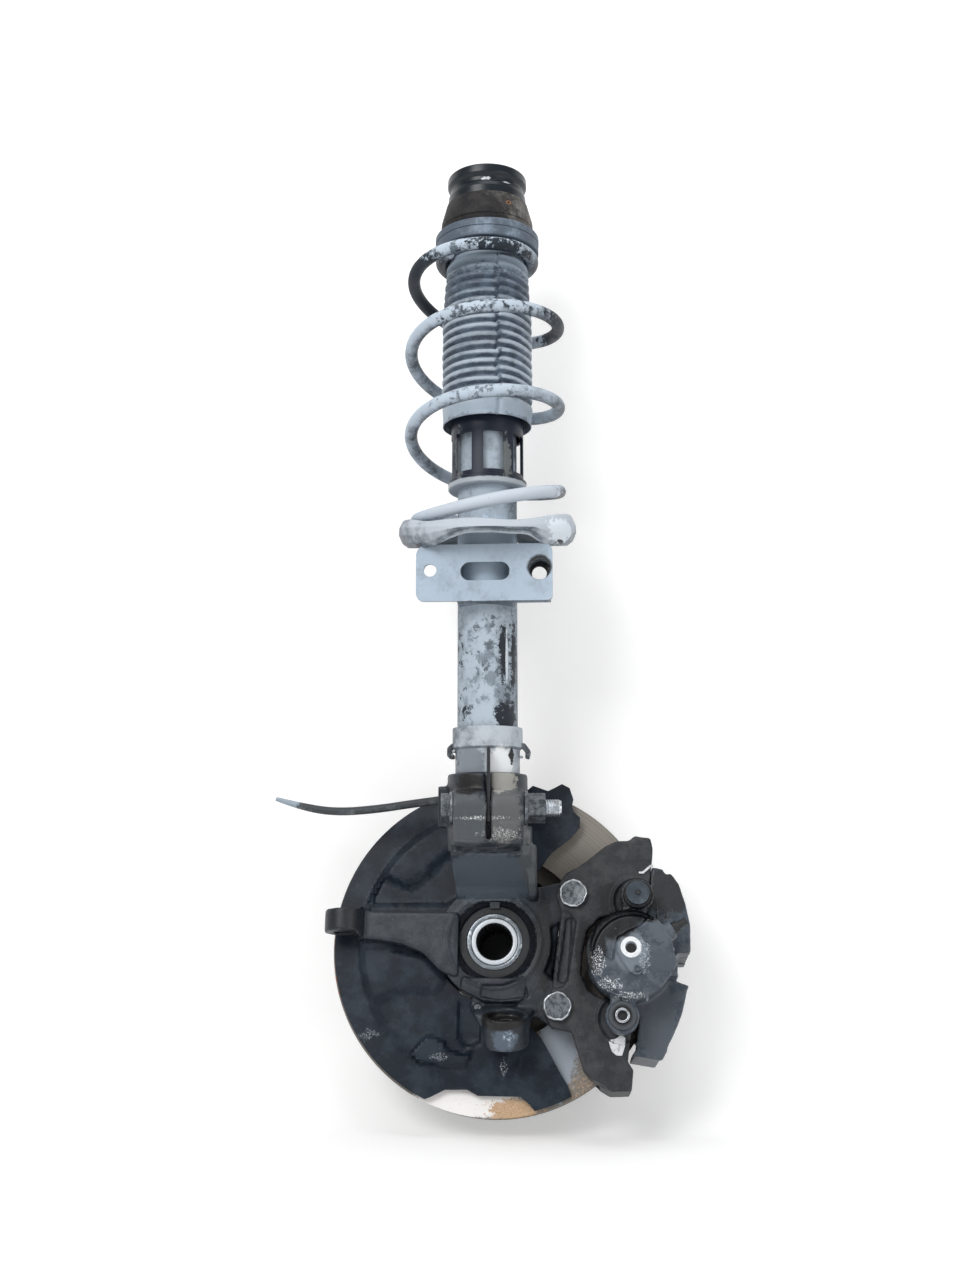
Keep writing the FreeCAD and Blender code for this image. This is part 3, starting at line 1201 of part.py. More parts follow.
brake_disc.Placement = hub_frame

disc_screw = finish(ring_body("disc_screw", [[
    (0, -(hat_face + 2.2)), (5, -(hat_face + 2.2)), (5.5, -hat_face), (3, -hat_face),
    (3, -(flange_set + 1)), (0, -(flange_set + 1))]],
    hub_frame.multiply(Placement(Vector(screw_spot[0].value, screw_spot[1].value, 0), Rotation()))),
    "disc_screw")


# Splash shield: a stepped pressing cut to its outline, with a flat tab beyond the disc's rim

shield_radius = shield_dia / 2
pressing = ring_body("shield_pressing", [[
    (shield_bore / 2, -shield_set), (shield_radius - 27, -shield_set),
    (shield_radius - 20, -(shield_set + shield_step)), (shield_radius, -(shield_set + shield_step)),
    (shield_radius, -(shield_set + shield_step + sheet_wall)),
    (shield_radius - 20.5, -(shield_set + shield_step + sheet_wall)),
    (shield_radius - 27.5, -(shield_set + sheet_wall)), (shield_bore / 2, -(shield_set + sheet_wall))]])
doc.recompute()
shield_edge = [(-51, 129.5), (-90, 150), (-160, 100), (-160, -100), (-100, -150), (-57.5, -126),
               (-51.7, -123.9), (-40.3, -118.3), (-22, -118), (-13, -122.7), (21.8, -123),
               (29.6, -129), (33.7, -134.4), (43.4, -134.8), (54, -130.3), (63.8, -122.5),
               (60.6, -114), (53.3, -102.4), (38.6, -76.2), (33.6, -71.7), (15, -57), (5, -46),
               (0, 0), (24, 44), (43.8, 71.9), (46, 76), (40, 100), (36, 133), (0, 137)]
tab_edge = [(24, 131), (31.6, 138), (45.1, 133), (50.7, 135.7), (57.4, 139.3), (64.2, 135.6),
            (67.4, 125.2), (66, 119.3), (67.7, 113.9), (72.9, 109.1), (72.8, 100), (64.9, 90.9),
            (48.2, 77.6), (43.8, 71.9), (30, 90)]


def straight_wire(points):
    corners = [Vector(x, y, 0) for x, y in points]
    return Part.makePolygon(corners + corners[:1])


shield = pressing.Shape.common(slab(straight_wire(shield_edge), 0, 30))
shield = shield.fuse(slab(straight_wire(tab_edge), shield_set, shield_set + sheet_wall))
tab_riser = slab(straight_wire([(26, 128), (36, 131), (40, 100), (40, 88), (32, 92)]),
                 shield_set, shield_set + shield_step + sheet_wall)
shield = shield.fuse(tab_riser)
for angle in screw_angles:
    shield = shield.cut(drum(3.3, 0, 30, screw_circle * math.cos(math.radians(angle)),
                             screw_circle * math.sin(math.radians(angle))))
shaped("splash_shield", shield.removeSplitter(), hub_frame)
doc.removeObject(pressing.Name)

screws = []
for angle in screw_angles:
    x = screw_circle * math.cos(math.radians(angle))
    y = screw_circle * math.sin(math.radians(angle))
    screw = drum(3, 4, shield_set + sheet_wall + 0.5, x, y)
    screws.append(screw.fuse(drum(5.5, shield_set + sheet_wall, shield_set + sheet_wall + 3.6, x, y)))
shaped("shield_screws", Part.makeCompound(screws), hub_frame)


# Caliper carrier: a bar bolted to the knuckle, arms over the disc and a tie bar behind it.
# In the caliper frame x runs away from the hub axis through the middle of the caliper.

cylinder_radius = float(cylinder_dia) / 2
piston_x = float(pin_out)
plate_edge = [(52.6, 30.8), (46.3, 43.3), (48, 54.7), (52.6, 63.3), (62.2, 70.2), (68.7, 76.6),
              (80.8, 89.8), (90.5, 96.7), (100.2, 98.2), (105, 102.8), (118.5, 103.1),
              (121.5, 94.4), (122.1, 82.1), (122, 40), (100, 36), (84, 30), (76, 18), (75, 0),
              (76, -18), (84, -30), (100, -36), (122, -40), (122, -80), (127.3, -85.4),
              (127.9, -101.7), (112, -104.9), (104.3, -100.1), (95.4, -97.5), (87.3, -90.3),
              (74.3, -64), (57.3, -63), (50.1, -53.1), (49.8, -42.7), (54, -35.2)]
carrier = slab(rounded_wire(plate_edge, 1.8), -float(carrier_wall), 0)
pad_room = float(pad_half) + float(free_gap)


def both_arms(lower_edge, upper_edge, near, far):
    return [slab(straight_wire(lower_edge), near, far), slab(straight_wire(upper_edge), near, far)]


lower_arm = [(88, -pad_room), (122, -pad_room), (122, -80), (127.3, -85.4), (127.9, -101.7),
             (112, -104.9), (104.3, -100.1), (95.4, -97.5), (87.3, -90.3), (82, -76)]
upper_arm = [(88, pad_room), (122, pad_room), (122.1, 82.1), (121.5, 94.4), (118.5, 103.1),
             (105, 102.8), (100.2, 98.2), (90.5, 96.7), (84, 90), (80, 76)]
inner_arms = both_arms(lower_arm, upper_arm, -2, disc_set - 2.5)
outer_arms = both_arms(lower_arm, upper_arm, disc_back + 1.5, disc_back + 15.5)
posts = both_arms(
    [(112, -84.5), (127.3, -84.5), (127.9, -101.7), (112, -104.9), (100, -100)],
    [(112, 84.5), (122.1, 84.5), (121.5, 94.4), (118.5, 103.1), (105, 102.8), (98, 98)],
    -2, disc_back + 15.5)
rim_room = drum(post_in, -20, disc_back + 60)
posts = [post.cut(rim_room) for post in posts]
tie_bar = side_block(80, 93, -70, 70, disc_back + 3, disc_back + 14)
pin_lugs = [drum(9.5, -float(carrier_wall), 3, pin_out, side * float(pin_half)) for side in (-1, 1)]
carrier = carrier.multiFuse(inner_arms + outer_arms + posts + pin_lugs + [tie_bar])
carrier_tools = [drum(cylinder_radius + 3, -20, 5, piston_x, 0),
                 slab(rounded_wire(box_outline(57, -27, 66, 27), 3), -20, -float(carrier_wall) + 3)]
for side in (-1, 1):
    carrier_tools.append(drum(float(carrier_bolt_dia) / 2 + float(bolt_gap), -20, 5,
                              carrier_bolt_out, side * float(carrier_bolt_half)))
    carrier_tools.append(drum(float(pin_dia) / 2, -20, 5, pin_out, side * float(pin_half)))
carrier = carrier.cut(Part.makeCompound(carrier_tools))
shaped("caliper_carrier", carrier.removeSplitter(), caliper_frame)

clips = [side_block(103, 118, min(side * 65, side * 76), max(side * 65, side * 76),
                    -float(carrier_wall) - 0.9, -float(carrier_wall)) for side in (-1, 1)]
shaped("pad_clips", Part.makeCompound(clips), caliper_frame)


def hexagon(across, near, far, x, y):
    """A hexagonal bar between two depths."""
    corners = [(x + float(across) / math.sqrt(3) * math.cos(math.radians(60 * k + 10)),
                y + float(across) / math.sqrt(3) * math.sin(math.radians(60 * k + 10)))
               for k in range(6)]
    return slab(straight_wire(corners), near, far)


bolts = []
for side in (-1, 1):
    x = float(carrier_bolt_out)
    y = side * float(carrier_bolt_half)
    bolt = drum(carrier_bolt_dia / 2, -15, 13, x, y)
    bolt = bolt.fuse(drum(11, -float(carrier_wall) - 2.5, -float(carrier_wall), x, y))
    bolts.append(bolt.fuse(hexagon(16, -float(carrier_wall) - 9.5, -float(carrier_wall) - 2, x, y)))
shaped("carrier_bolts", Part.makeCompound(bolts), caliper_frame)

pins = []
for side in (-1, 1):
    y = side * float(pin_half)
    pin = drum(pin_dia / 2, -42, 2, pin_out, y)
    pin = pin.fuse(drum(5.8, -44, -40, pin_out, y)).cut(hexagon(6, -50, -41.5, float(pin_out), y))
    pins.append(pin)
shaped("guide_pins", Part.makeCompound(pins), caliper_frame)


# Floating caliper

cylinder_end = float(cylinder_depth)
bore_end = cylinder_end - float(cylinder_floor)
front_face = -0.2
mouth = -2.5
caliper_bore = float(piston_dia) / 2
housing = drum(cylinder_radius, -cylinder_end, front_face, piston_x, 0)
cheek = slab(rounded_wire(
    [(92, -30), (118, -36.5), (127, -44), (127, -74), (152, -74), (152, 74), (127, 74), (127, 44),
     (118, 36.5), (92, 30)], [6, 3, 6, 3, 3, 3, 3, 6, 3, 6]), -10, front_face)
bridge_far = float(disc_back) + 26.5
bridge = drum(caliper_out, -10, bridge_far).cut(drum(float(post_in) + 2, -20, bridge_far + 10))
bridge = bridge.common(side_block(100, 200, -74.5, 74.5, -10, bridge_far))
window = side_block(float(caliper_out) - 11.5, 200, -12, 14, 4, disc_back + 10)
finger_near = float(disc_back) + float(pad_gap) + float(lining_wall) + float(backing_wall)
fingers = slab(rounded_wire(
    [(86, -48), (120, -54), (140, -66), (158, -66), (158, 66), (140, 66), (120, 54), (86, 48)],
    [7, 5, 5, 2, 2, 5, 5, 7]), finger_near, bridge_far)
fingers = fingers.cut(slab(rounded_wire(box_outline(60, -13, 138, 13), 6), finger_near - 1,
                           bridge_far + 1))
eyes = []
for side in (-1, 1):
    y = side * float(pin_half)
    eyes.append(drum(13.5, -40, -20, pin_out, y))
    eyes.append(side_block(piston_x - 11, piston_x + 9, min(y, side * 26), max(y, side * 26), -39, -21))
rib = side_block(132, 154, -11, 3, -40, -4)
port_boss = drum(9, -cylinder_end - 4, -cylinder_end + 2, piston_x, 4.4)
bleed_way = Vector(0.77, 0.64, 0)
bleed_seat = Vector(piston_x, 0, 34) + bleed_way * 28
bleed_boss = Part.makeCylinder(7.5, 13, bleed_seat, bleed_way)
housing = housing.multiFuse([cheek, bridge, fingers, rib, port_boss, bleed_boss] + eyes)
housing_tools = [
    window, drum(caliper_bore, -bore_end, 5, piston_x, 0),
    drum(caliper_bore + 4, mouth - 0.5, 5, piston_x, 0),
    drum(caliper_bore + 2.5, -13, -9, piston_x, 0),
    drum(port_dia / 2, -cylinder_end - 10, -cylinder_end - 4 + float(port_depth), piston_x, 4.4),
    drum(2, -cylinder_end - 1, -bore_end + 1, piston_x, 4.4),
    Part.makeCylinder(3, 30, bleed_seat - bleed_way * 4, bleed_way)]
for side in (-1, 1):
    housing_tools.append(drum(9.5, -50, -10.5, pin_out, side * float(pin_half)))
housing = housing.cut(Part.makeCompound(housing_tools))
shaped("caliper_housing", housing.removeSplitter(), caliper_frame)

bushes = []
for side in (-1, 1):
    y = side * float(pin_half)
    bush = drum(9.5, -42.5, -18.5, pin_out, y).fuse(drum(11, -44, -40, pin_out, y))
    bush = bush.fuse(drum(11, -20, -18.5, pin_out, y))
    bush = bush.cut(drum(pin_dia / 2 + running_gap, -60, 0, pin_out, y))
    bushes.append(bush.cut(drum(6.2, -60, -35.5, pin_out, y)))
shaped("guide_bushes", Part.makeCompound(bushes), caliper_frame)

cap_y = float(pin_half)
cap = drum(9.4, -51, -44, pin_out, cap_y).cut(drum(7.4, -49.2, -40, pin_out, cap_y))
shaped("guide_cap", cap, caliper_frame)

bleed_screw = Part.makeCylinder(3, 14, bleed_seat + bleed_way * 1, bleed_way)
bleed_screw = bleed_screw.fuse(Part.makeCylinder(5, 5, bleed_seat + bleed_way * 13, bleed_way))
bleed_screw = bleed_screw.fuse(Part.makeCylinder(3.2, 9, bleed_seat + bleed_way * 17, bleed_way))
shaped("bleed_screw", bleed_screw, caliper_frame)

seal = drum(caliper_bore + 2.5, -13, -9, piston_x, 0).cut(drum(caliper_bore, -20, 0, piston_x, 0))
shaped("piston_seal", seal, caliper_frame)
boot = drum(caliper_bore + 4, mouth - 0.5, front_face, piston_x, 0)
boot = boot.cut(drum(caliper_bore + free_gap, -20, 5, piston_x, 0))
shaped("piston_boot", boot, caliper_frame)

piston_radius = caliper_bore - float(running_gap)
inner_back = float(disc_set) - float(pad_gap) - float(lining_wall)
piston_end = inner_back - float(backing_wall)
piston = drum(piston_radius, -28, piston_end, piston_x, 0)
piston = piston.cut(drum(piston_radius - 6.5, -20, piston_end + 1, piston_x, 0))
shaped("caliper_piston", piston, caliper_frame)


# Brake pads

rim_line = float(post_in) - 1.5


def pad_plate(near):
    """The steel backing of a pad: a plate with a hammer-head at each end."""
    edge = [(pad_in, -float(pad_half) + 9), (pad_in + 5, -float(pad_half)), (122, -float(pad_half)),
            (pad_out, -float(pad_half) + 8), (pad_out, float(pad_half) - 8),
            (122, float(pad_half)), (pad_in + 5, float(pad_half)), (pad_in, float(pad_half) - 9)]
    plate_blank = slab(rounded_wire(edge, 2), near, near + float(backing_wall))
    return plate_blank.common(drum(rim_line, -50, 200))


def pad_lining(near):
    """The lining, with its slot and bevelled ends."""
    edge = [(pad_in + 3, -38), (pad_in + 9, -46), (128, -50), (pad_out - 1, -44),
            (pad_out - 1, 44), (128, 50), (pad_in + 9, 46), (pad_in + 3, 38)]
    lining = slab(rounded_wire(edge, 2), near, near + float(lining_wall))
    lining = lining.common(drum(rim_line - 3, -50, 200))
    middle_slot = side_block(60, 200, -1.6, 1.6, near + 1.5, near + float(lining_wall) - 1.5)
    return lining.cut(middle_slot)


shaped("inner_pad_backing", pad_plate(piston_end), caliper_frame)
shaped("inner_pad_lining", pad_lining(inner_back), caliper_frame)
shaped("outer_pad_lining", pad_lining(float(disc_back) + float(pad_gap)), caliper_frame)
shaped("outer_pad_backing", pad_plate(float(disc_back) + float(pad_gap) + float(lining_wall)),
       caliper_frame)


# Wheel speed sensor's cut-off lead and its grommet

lead_radius = float(lead_dia) / 2
lead_edges = []
entry = lead_points[0]
for before, here, after in zip(lead_points, lead_points[1:], lead_points[2:]):
    back_way = (before - here).normalize()
    next_way = (after - here).normalize()
    half_turn = (math.pi - back_way.getAngle(next_way)) / 2
    bend = 0.45 * min((before - here).Length, (after - here).Length) / math.tan(half_turn)
    reach = bend * math.tan(half_turn)
    bend_start = here + back_way * reach
    bend_end = here + next_way * reach
    inwards = (back_way + next_way).normalize()
    middle = here + inwards * (bend / math.cos(half_turn) - bend)
    lead_edges.append(Part.LineSegment(entry, bend_start).toShape())
    lead_edges.append(Part.Arc(bend_start, middle, bend_end).toShape())
    entry = bend_end
    print("lead: bend of", round(bend, 1), "mm")
lead_edges.append(Part.LineSegment(entry, lead_points[-1]).toShape())
lead_section = Part.Wire([Part.Circle(lead_points[0], lead_start, lead_radius).toShape()])
shaped("sensor_lead", Part.Wire(lead_edges).makePipeShell([lead_section], True, False))

grommet = grommet_blank().cut(Part.makeCylinder(lead_radius, 12, lead_points[0], lead_start))
shaped("lead_grommet", grommet)


# Check every object and write the sub-parts

doc.recompute()
for feature in doc.Objects:
    if "Invalid" in feature.State or "Error" in feature.State:
        raise RuntimeError(f"{feature.Label} didn't recompute: {feature.State}")
for feature in parts:
    if feature.Shape.isNull() or not feature.Shape.isValid():
        raise RuntimeError(f"{feature.Label} has no valid shape")
    if not feature.Shape.Solids:
        raise RuntimeError(f"{feature.Label} has no solid")

os.makedirs("parts", exist_ok=True)
for feature in parts:
    feature.Shape.exportStep(os.path.join("parts", feature.Label + ".step"))
print("written:", len(parts), "sub-parts")
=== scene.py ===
import math
import json
import bpy
import bmesh
import numpy as np
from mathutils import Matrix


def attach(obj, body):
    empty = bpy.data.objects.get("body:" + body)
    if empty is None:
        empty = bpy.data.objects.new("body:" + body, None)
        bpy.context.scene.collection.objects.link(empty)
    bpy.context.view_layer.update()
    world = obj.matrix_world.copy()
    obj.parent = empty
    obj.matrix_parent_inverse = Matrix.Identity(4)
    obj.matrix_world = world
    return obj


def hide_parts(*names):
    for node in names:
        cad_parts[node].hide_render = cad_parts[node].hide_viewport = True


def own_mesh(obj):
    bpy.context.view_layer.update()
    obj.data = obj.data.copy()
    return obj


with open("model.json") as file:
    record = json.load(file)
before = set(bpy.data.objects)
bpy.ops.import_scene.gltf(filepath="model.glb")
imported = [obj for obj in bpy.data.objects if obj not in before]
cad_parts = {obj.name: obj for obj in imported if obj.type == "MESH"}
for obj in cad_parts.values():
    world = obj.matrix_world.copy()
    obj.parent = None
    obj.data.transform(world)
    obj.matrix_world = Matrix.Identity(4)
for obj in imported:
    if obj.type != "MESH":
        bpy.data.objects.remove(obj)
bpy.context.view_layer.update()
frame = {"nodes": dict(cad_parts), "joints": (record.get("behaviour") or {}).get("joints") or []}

# %% [markdown]
# This file dresses a complete front suspension corner: the strut with its spring and bellows,
# the steering knuckle clamped to it, and the wheel bearing, brake disc, shield and caliper.
# The engineering model fixes where every piece is. Here each piece gets its finished surface.
# Shapes are written in millimetres, because that is how the parts are drawn, and one helper
# turns them into metres when it makes a mesh.

# %% Units and the frames that pieces are drawn in
MM = 0.001
HUB_JOINT = next(joint for joint in frame["joints"] if joint["name"] == "wheel_spin")
HUB_POINT = np.array(HUB_JOINT["pos_m"]) / MM
OUTBOARD = np.array(HUB_JOINT["axis"])
CALIPER_TURN = math.radians(-8.5)
CLAMP_TURN = math.radians(5)
SEAT_TILT = math.radians(13)
SEAT_DROP = 319.0


def placement(origin, x_axis, z_axis):
    """A 4 by 4 placement whose columns are its three axes and its origin; y is z cross x."""
    made = np.eye(4)
    made[:3, 0] = x_axis
    made[:3, 2] = z_axis
    made[:3, 1] = np.cross(z_axis, x_axis)
    made[:3, 3] = origin
    return made


def turn_about_z(angle):
    """A turn about the local z axis: x goes to (cos, sin), y to (-sin, cos)."""
    made = np.eye(4)
    made[:2, :2] = [[math.cos(angle), -math.sin(angle)], [math.sin(angle), math.cos(angle)]]
    return made


DAMPER = np.eye(4)
HUB = placement(HUB_POINT, (1, 0, 0), -OUTBOARD)
CALIPER = HUB @ turn_about_z(CALIPER_TURN)
CLAMP = turn_about_z(CLAMP_TURN)
SEAT = placement((0, 0, -SEAT_DROP), (1, 0, 0), (0, -math.sin(SEAT_TILT), math.cos(SEAT_TILT)))
print("hub axis starts at", HUB_POINT.round(1), "mm and points outboard along", OUTBOARD.round(3))


def on_caliper(x, y):
    """The caliper's frame moved to a point of its face."""
    return CALIPER @ placement((x, y, 0), (1, 0, 0), (0, 0, 1))


# %% [markdown]
# The camera stands where the photographer stood: a little to the right, level with the clamp,
# looking up along the strut. The focal length is worked out from the picture's height.

# %% Camera
PICTURE_HEIGHT = 1280
FOCAL_PIXELS = 1350
SENSOR = 36.0
CAMERA_SPOT = (0.0787, -1.132, -0.605)
CAMERA_RAISED = 9.3
CAMERA_TURNED = 4.3
camera_data = bpy.data.cameras.new("camera")
camera_data.sensor_width = SENSOR
camera_data.lens = FOCAL_PIXELS / PICTURE_HEIGHT * SENSOR
camera_data.clip_end = 50
camera = bpy.data.objects.new("camera", camera_data)
camera.location = CAMERA_SPOT
camera.rotation_euler = (math.radians(90 + CAMERA_RAISED), 0, math.radians(CAMERA_TURNED))
bpy.context.collection.objects.link(camera)
bpy.context.scene.camera = camera
bpy.context.scene.view_settings.view_transform = "Standard"
print("lens", round(camera_data.lens, 2), "mm")

# %% [markdown]
# The wheel speed sensor's lead was cut through when the corner came off the car. It is stiff
# enough to stand out to the left by itself. A NURBS curve draws it as one smooth line: its
# control points are the route's points, and order 3 keeps it close to them.

# %% Sensor lead
LEAD_ROUTE = [(-34, 33, -552), (-62, 31, -555.5), (-98, 30, -561), (-134, 30, -563.5), (-164, 30, -558.5),
    (-186, 30, -551.8)]
LEAD_THICKNESS = [1, 1, 1, 1, 0.94, 0.5]
LEAD_DIAMETER = 7.0
lead_curve = bpy.data.curves.new("sensor_lead_cable", "CURVE")
lead_curve.dimensions = "3D"
lead_line = lead_curve.splines.new("NURBS")
lead_line.points.add(len(LEAD_ROUTE) - 1)
for point, spot, share in zip(lead_line.points, LEAD_ROUTE, LEAD_THICKNESS):
    point.co = (*[value * MM for value in spot], 1)
    point.radius = LEAD_DIAMETER / 2 * MM * share
lead_line.order_u = 3
lead_line.use_endpoint_u = True
lead_line.resolution_u = 12
lead_curve.bevel_depth = 1.0
lead_curve.bevel_resolution = 6
lead_curve.use_fill_caps = True
lead = bpy.data.objects.new("sensor_lead_cable", lead_curve)
bpy.context.collection.objects.link(lead)
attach(lead, "strut")
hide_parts("sensor_lead")
print("lead of", len(LEAD_ROUTE), "points")

# %% [markdown]
# Every new piece is a grid of points: a function of two parameters, worked out for the whole
# grid at once. `quads` numbers the corners of the grid's cells, `rounded` softens the corners
# of a drawn profile, `show` puts a mesh into the scene, and `carry` says which body carries the
# piece. The weighted normals keep large flat faces flat where they meet a small rounding.

# %% Meshes from arrays


def quads(rows, columns, close_rows=False, close_columns=True):
    """Corner numbers of a grid's cells. A closed direction joins its last line to its first."""
    row = np.arange(rows if close_rows else rows - 1)
    column = np.arange(columns if close_columns else columns - 1)
    row, column = np.meshgrid(row, column, indexing="ij")
    next_row = (row + 1) % rows
    next_column = (column + 1) % columns
    cells = [row * columns + column, row * columns + next_column, next_row * columns + next_column,
        next_row * columns + column]
    return np.stack(cells, -1).reshape(-1, 4)


def fill_mesh(name, points, faces, caps=()):
    """A mesh of quads plus any caps, each a list of corner numbers, written as whole arrays."""
    mesh = bpy.data.meshes.new(name)
    faces = np.asarray(faces)
    corners = np.concatenate([faces.ravel()] + [np.asarray(cap) for cap in caps])
    sizes = np.array([4] * len(faces) + [len(cap) for cap in caps])
    mesh.vertices.add(len(points))
    mesh.vertices.foreach_set("co", (np.asarray(points) * MM).astype(np.float32).ravel())
    mesh.loops.add(len(corners))
    mesh.loops.foreach_set("vertex_index", corners.astype(np.int32))
    mesh.polygons.add(len(sizes))
    mesh.polygons.foreach_set("loop_start", (np.cumsum(sizes) - sizes).astype(np.int32))
    mesh.update(calc_edges=True)
    mesh.validate()
    return mesh


def weld(mesh, distance=0.002):
    """Merge points nearer than the distance, so that poles and seams are closed."""
    work = bmesh.new()
    work.from_mesh(mesh)
    bmesh.ops.remove_doubles(work, verts=work.verts, dist=distance * MM)
    work.to_mesh(mesh)
    work.free()
    return mesh


def baked(piece):
    """The piece with its modifiers worked into the mesh."""
    graph = bpy.context.evaluated_depsgraph_get()
    mesh = bpy.data.meshes.new_from_object(piece.evaluated_get(graph))
    piece.modifiers.clear()
    old = piece.data
    piece.data = mesh
    mesh.name = piece.name
    bpy.data.meshes.remove(old)


def show(mesh, name):
    piece = bpy.data.objects.new(name, mesh)
    bpy.context.collection.objects.link(piece)
    return piece


def carry(piece, body, material, slot, *nodes):
    """Finish a piece: its material, its body and the CAD nodes that it stands for. The slot is not used."""
    piece.data.materials.clear()
    piece.data.materials.append(material)
    piece.data.shade_smooth()
    weighted = piece.modifiers.new("even_normals", "WEIGHTED_NORMAL")
    weighted.keep_sharp = True
    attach(piece, body)
    if nodes:
        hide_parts(*nodes)
    print(piece.name, len(piece.data.polygons), "faces")
    return piece


def place(points, where):
    """Points of a drawing put in its place: each is turned by the frame and moved by it."""
    return points @ where[:3, :3].T + where[:3, 3]


def drawn_in(points, where):
    """The way back: points of the object in the coordinates of a frame."""
    return (points - where[:3, 3]) @ where[:3, :3]


def rounded(corners, steps, closed=True):
    """A line through (x, y, radius) corners, each replaced by an arc tangent to its two sides.

    The arc starts radius / tan(half the corner's angle) before the corner. Its points are
    spokes of a circle, blended from the first spoke to the last by the sine rule.
    """
    corners = np.array(corners, float)
    count = len(corners)
    line = []
    for k in range(count):
        here = corners[k, :2]
        end_point = not closed and k in (0, count - 1)
        back = corners[k - 1, :2] - here
        ahead = corners[(k + 1) % count, :2] - here
        room = 0.48 * min(np.hypot(*back), np.hypot(*ahead))
        back = back / np.hypot(*back)
        ahead = ahead / np.hypot(*ahead)
        half = math.acos(np.clip(back @ ahead, -1, 1)) / 2
        sweep = math.pi - 2 * half
        if end_point or corners[k, 2] <= 0 or sweep < 0.02:
            line.append(here[None])
            continue
        reach = min(corners[k, 2] / math.tan(half), room)
        radius = reach * math.tan(half)
        centre = here + (back + ahead) / np.hypot(*(back + ahead)) * radius / math.sin(half)
        share = np.linspace(0, 1, steps + 1)[:, None]
        first = here + back * reach - centre
        last = here + ahead * reach - centre
        spokes = (np.sin((1 - share) * sweep) * first + np.sin(share * sweep) * last) / math.sin(sweep)
        line.append(centre + spokes)
    return np.concatenate(line)


def turns_left(line):
    """True if a closed line runs anticlockwise: half the sum of its cross products is over 0."""
    x, y = line[:, 0], line[:, 1]
    return np.sum(x * np.roll(y, -1) - np.roll(x, -1) * y) > 0


# %% [markdown]
# Most of this object came off a lathe or out of a round mould, so its main tool is a turned
# surface: a profile of (radius, height) points carried round an axis. A profile may be bent
# on the way by a function of radius, angle and height. That makes splines, dents and ribs.

# %% Turned surfaces


def turned_points(line, steps, bend):
    """Radius, angle and height grids become x = r cos a, y = r sin a, z = height."""
    angle = np.arange(steps) * 2 * math.pi / steps
    radius, angle = np.meshgrid(line[:, 0], angle, indexing="ij")
    height = np.repeat(line[:, 1:2], steps, axis=1)
    if bend:
        radius, angle, height = bend(radius, angle, height)
    return np.stack([radius * np.cos(angle), radius * np.sin(angle), height], -1).reshape(-1, 3)


def turned(name, corners, where=DAMPER, steps=144, bend=None, closed=True, arc=4):
    """A profile of (radius, height, rounding) corners carried round the local z axis."""
    line = rounded(corners, arc, closed)
    if not turns_left(line):
        line = line[::-1]
    points = place(turned_points(line, steps, bend), where)
    mesh = fill_mesh(name, points, quads(len(line), steps, closed))
    if not closed:
        weld(mesh)
    return show(mesh, name)


# %% [markdown]
# Sheet metal and forged bars are outlines with a thickness. The outline is stacked as rings:
# the rings near both faces step inwards on a quarter circle, which gives the softened edge
# that catches the light, and one large face closes each side.

# %% Plates


def plate_points(line, near, far, edge):
    """Rings of an outline between two depths; each edge ring is inset by edge (1 - sin a)."""
    if not turns_left(line):
        line = line[::-1]
    way = np.roll(line, -1, 0) - np.roll(line, 1, 0)
    way = way / np.maximum(np.hypot(way[:, 0], way[:, 1]), 1e-9)[:, None]
    outward = np.stack([way[:, 1], -way[:, 0]], -1)
    swing = np.linspace(0, math.pi / 2, 4)
    inset = edge * (1 - np.sin(swing))
    rise = edge * (1 - np.cos(swing))
    insets = np.concatenate([inset, inset[::-1]])
    levels = np.concatenate([near + rise, (far - rise)[::-1]])
    rings = line[None] - outward[None] * insets[:, None, None]
    heights = np.repeat(levels[:, None, None], len(line), axis=1)
    return np.concatenate([rings, heights], -1)


def plate_mesh(name, corners, near, far, where, edge=0.5):
    """A rounded outline of (x, y, radius) corners, made solid between two local z levels."""
    rings = plate_points(rounded(corners, 5), near, far, edge)
    count = rings.shape[1]
    low = np.arange(count)[::-1]
    high = np.arange(count) + (rings.shape[0] - 1) * count
    points = place(rings.reshape(-1, 3), where)
    return fill_mesh(name, points, quads(rings.shape[0], count), [low, high])


def plate(name, corners, near, far, **options):
    return show(plate_mesh(name, corners, near, far, **options), name)


# %% [markdown]
# Wire, ridges and hooks are a round section carried along a path. The section's two axes are
# found from the path's direction and one fixed direction that the path never points along.

# %% Sections along a path


def swept_points(path, radius, around, up):
    """Rings about a path: centre + r (cos a side + sin a over); side is path cross up."""
    way = np.gradient(path, axis=0)
    way = way / np.linalg.norm(way, axis=1)[:, None]
    side = np.cross(way, np.array(up, float))
    side = side / np.linalg.norm(side, axis=1)[:, None]
    over = np.cross(way, side)
    angle = np.arange(around) * 2 * math.pi / around
    radius = np.broadcast_to(radius, len(path))[:, None, None]
    spokes = side[:, None] * np.cos(angle)[None, :, None] + over[:, None] * np.sin(angle)[None, :, None]
    return path[:, None] + radius * spokes


def swept_mesh(name, path, radius, around=16, up=(0, 0, 1)):
    """A tube along a path, closed by a flat face at each end."""
    rings = swept_points(path, radius, around, up)
    low = np.arange(around)[::-1]
    high = np.arange(around) + (len(path) - 1) * around
    return fill_mesh(name, rings.reshape(-1, 3), quads(len(path), around), [low, high])


# %% [markdown]
# Sand castings have no sharp corners, and a fillet wherever two walls meet. Their shape is
# already right in the engineering model. A copy of it is merged, rebuilt on a fine grid of
# cubes and smoothed, which rounds the corners as sand does. Machined faces are then put back:
# points near a stated cylinder or plane are moved exactly onto it. Gentle lumps finish it.

# %% Castings
CAST_GRID = 1.2
RANDOM = np.random.default_rng(7)
LATTICE = RANDOM.random((32, 32, 32)) * 2 - 1


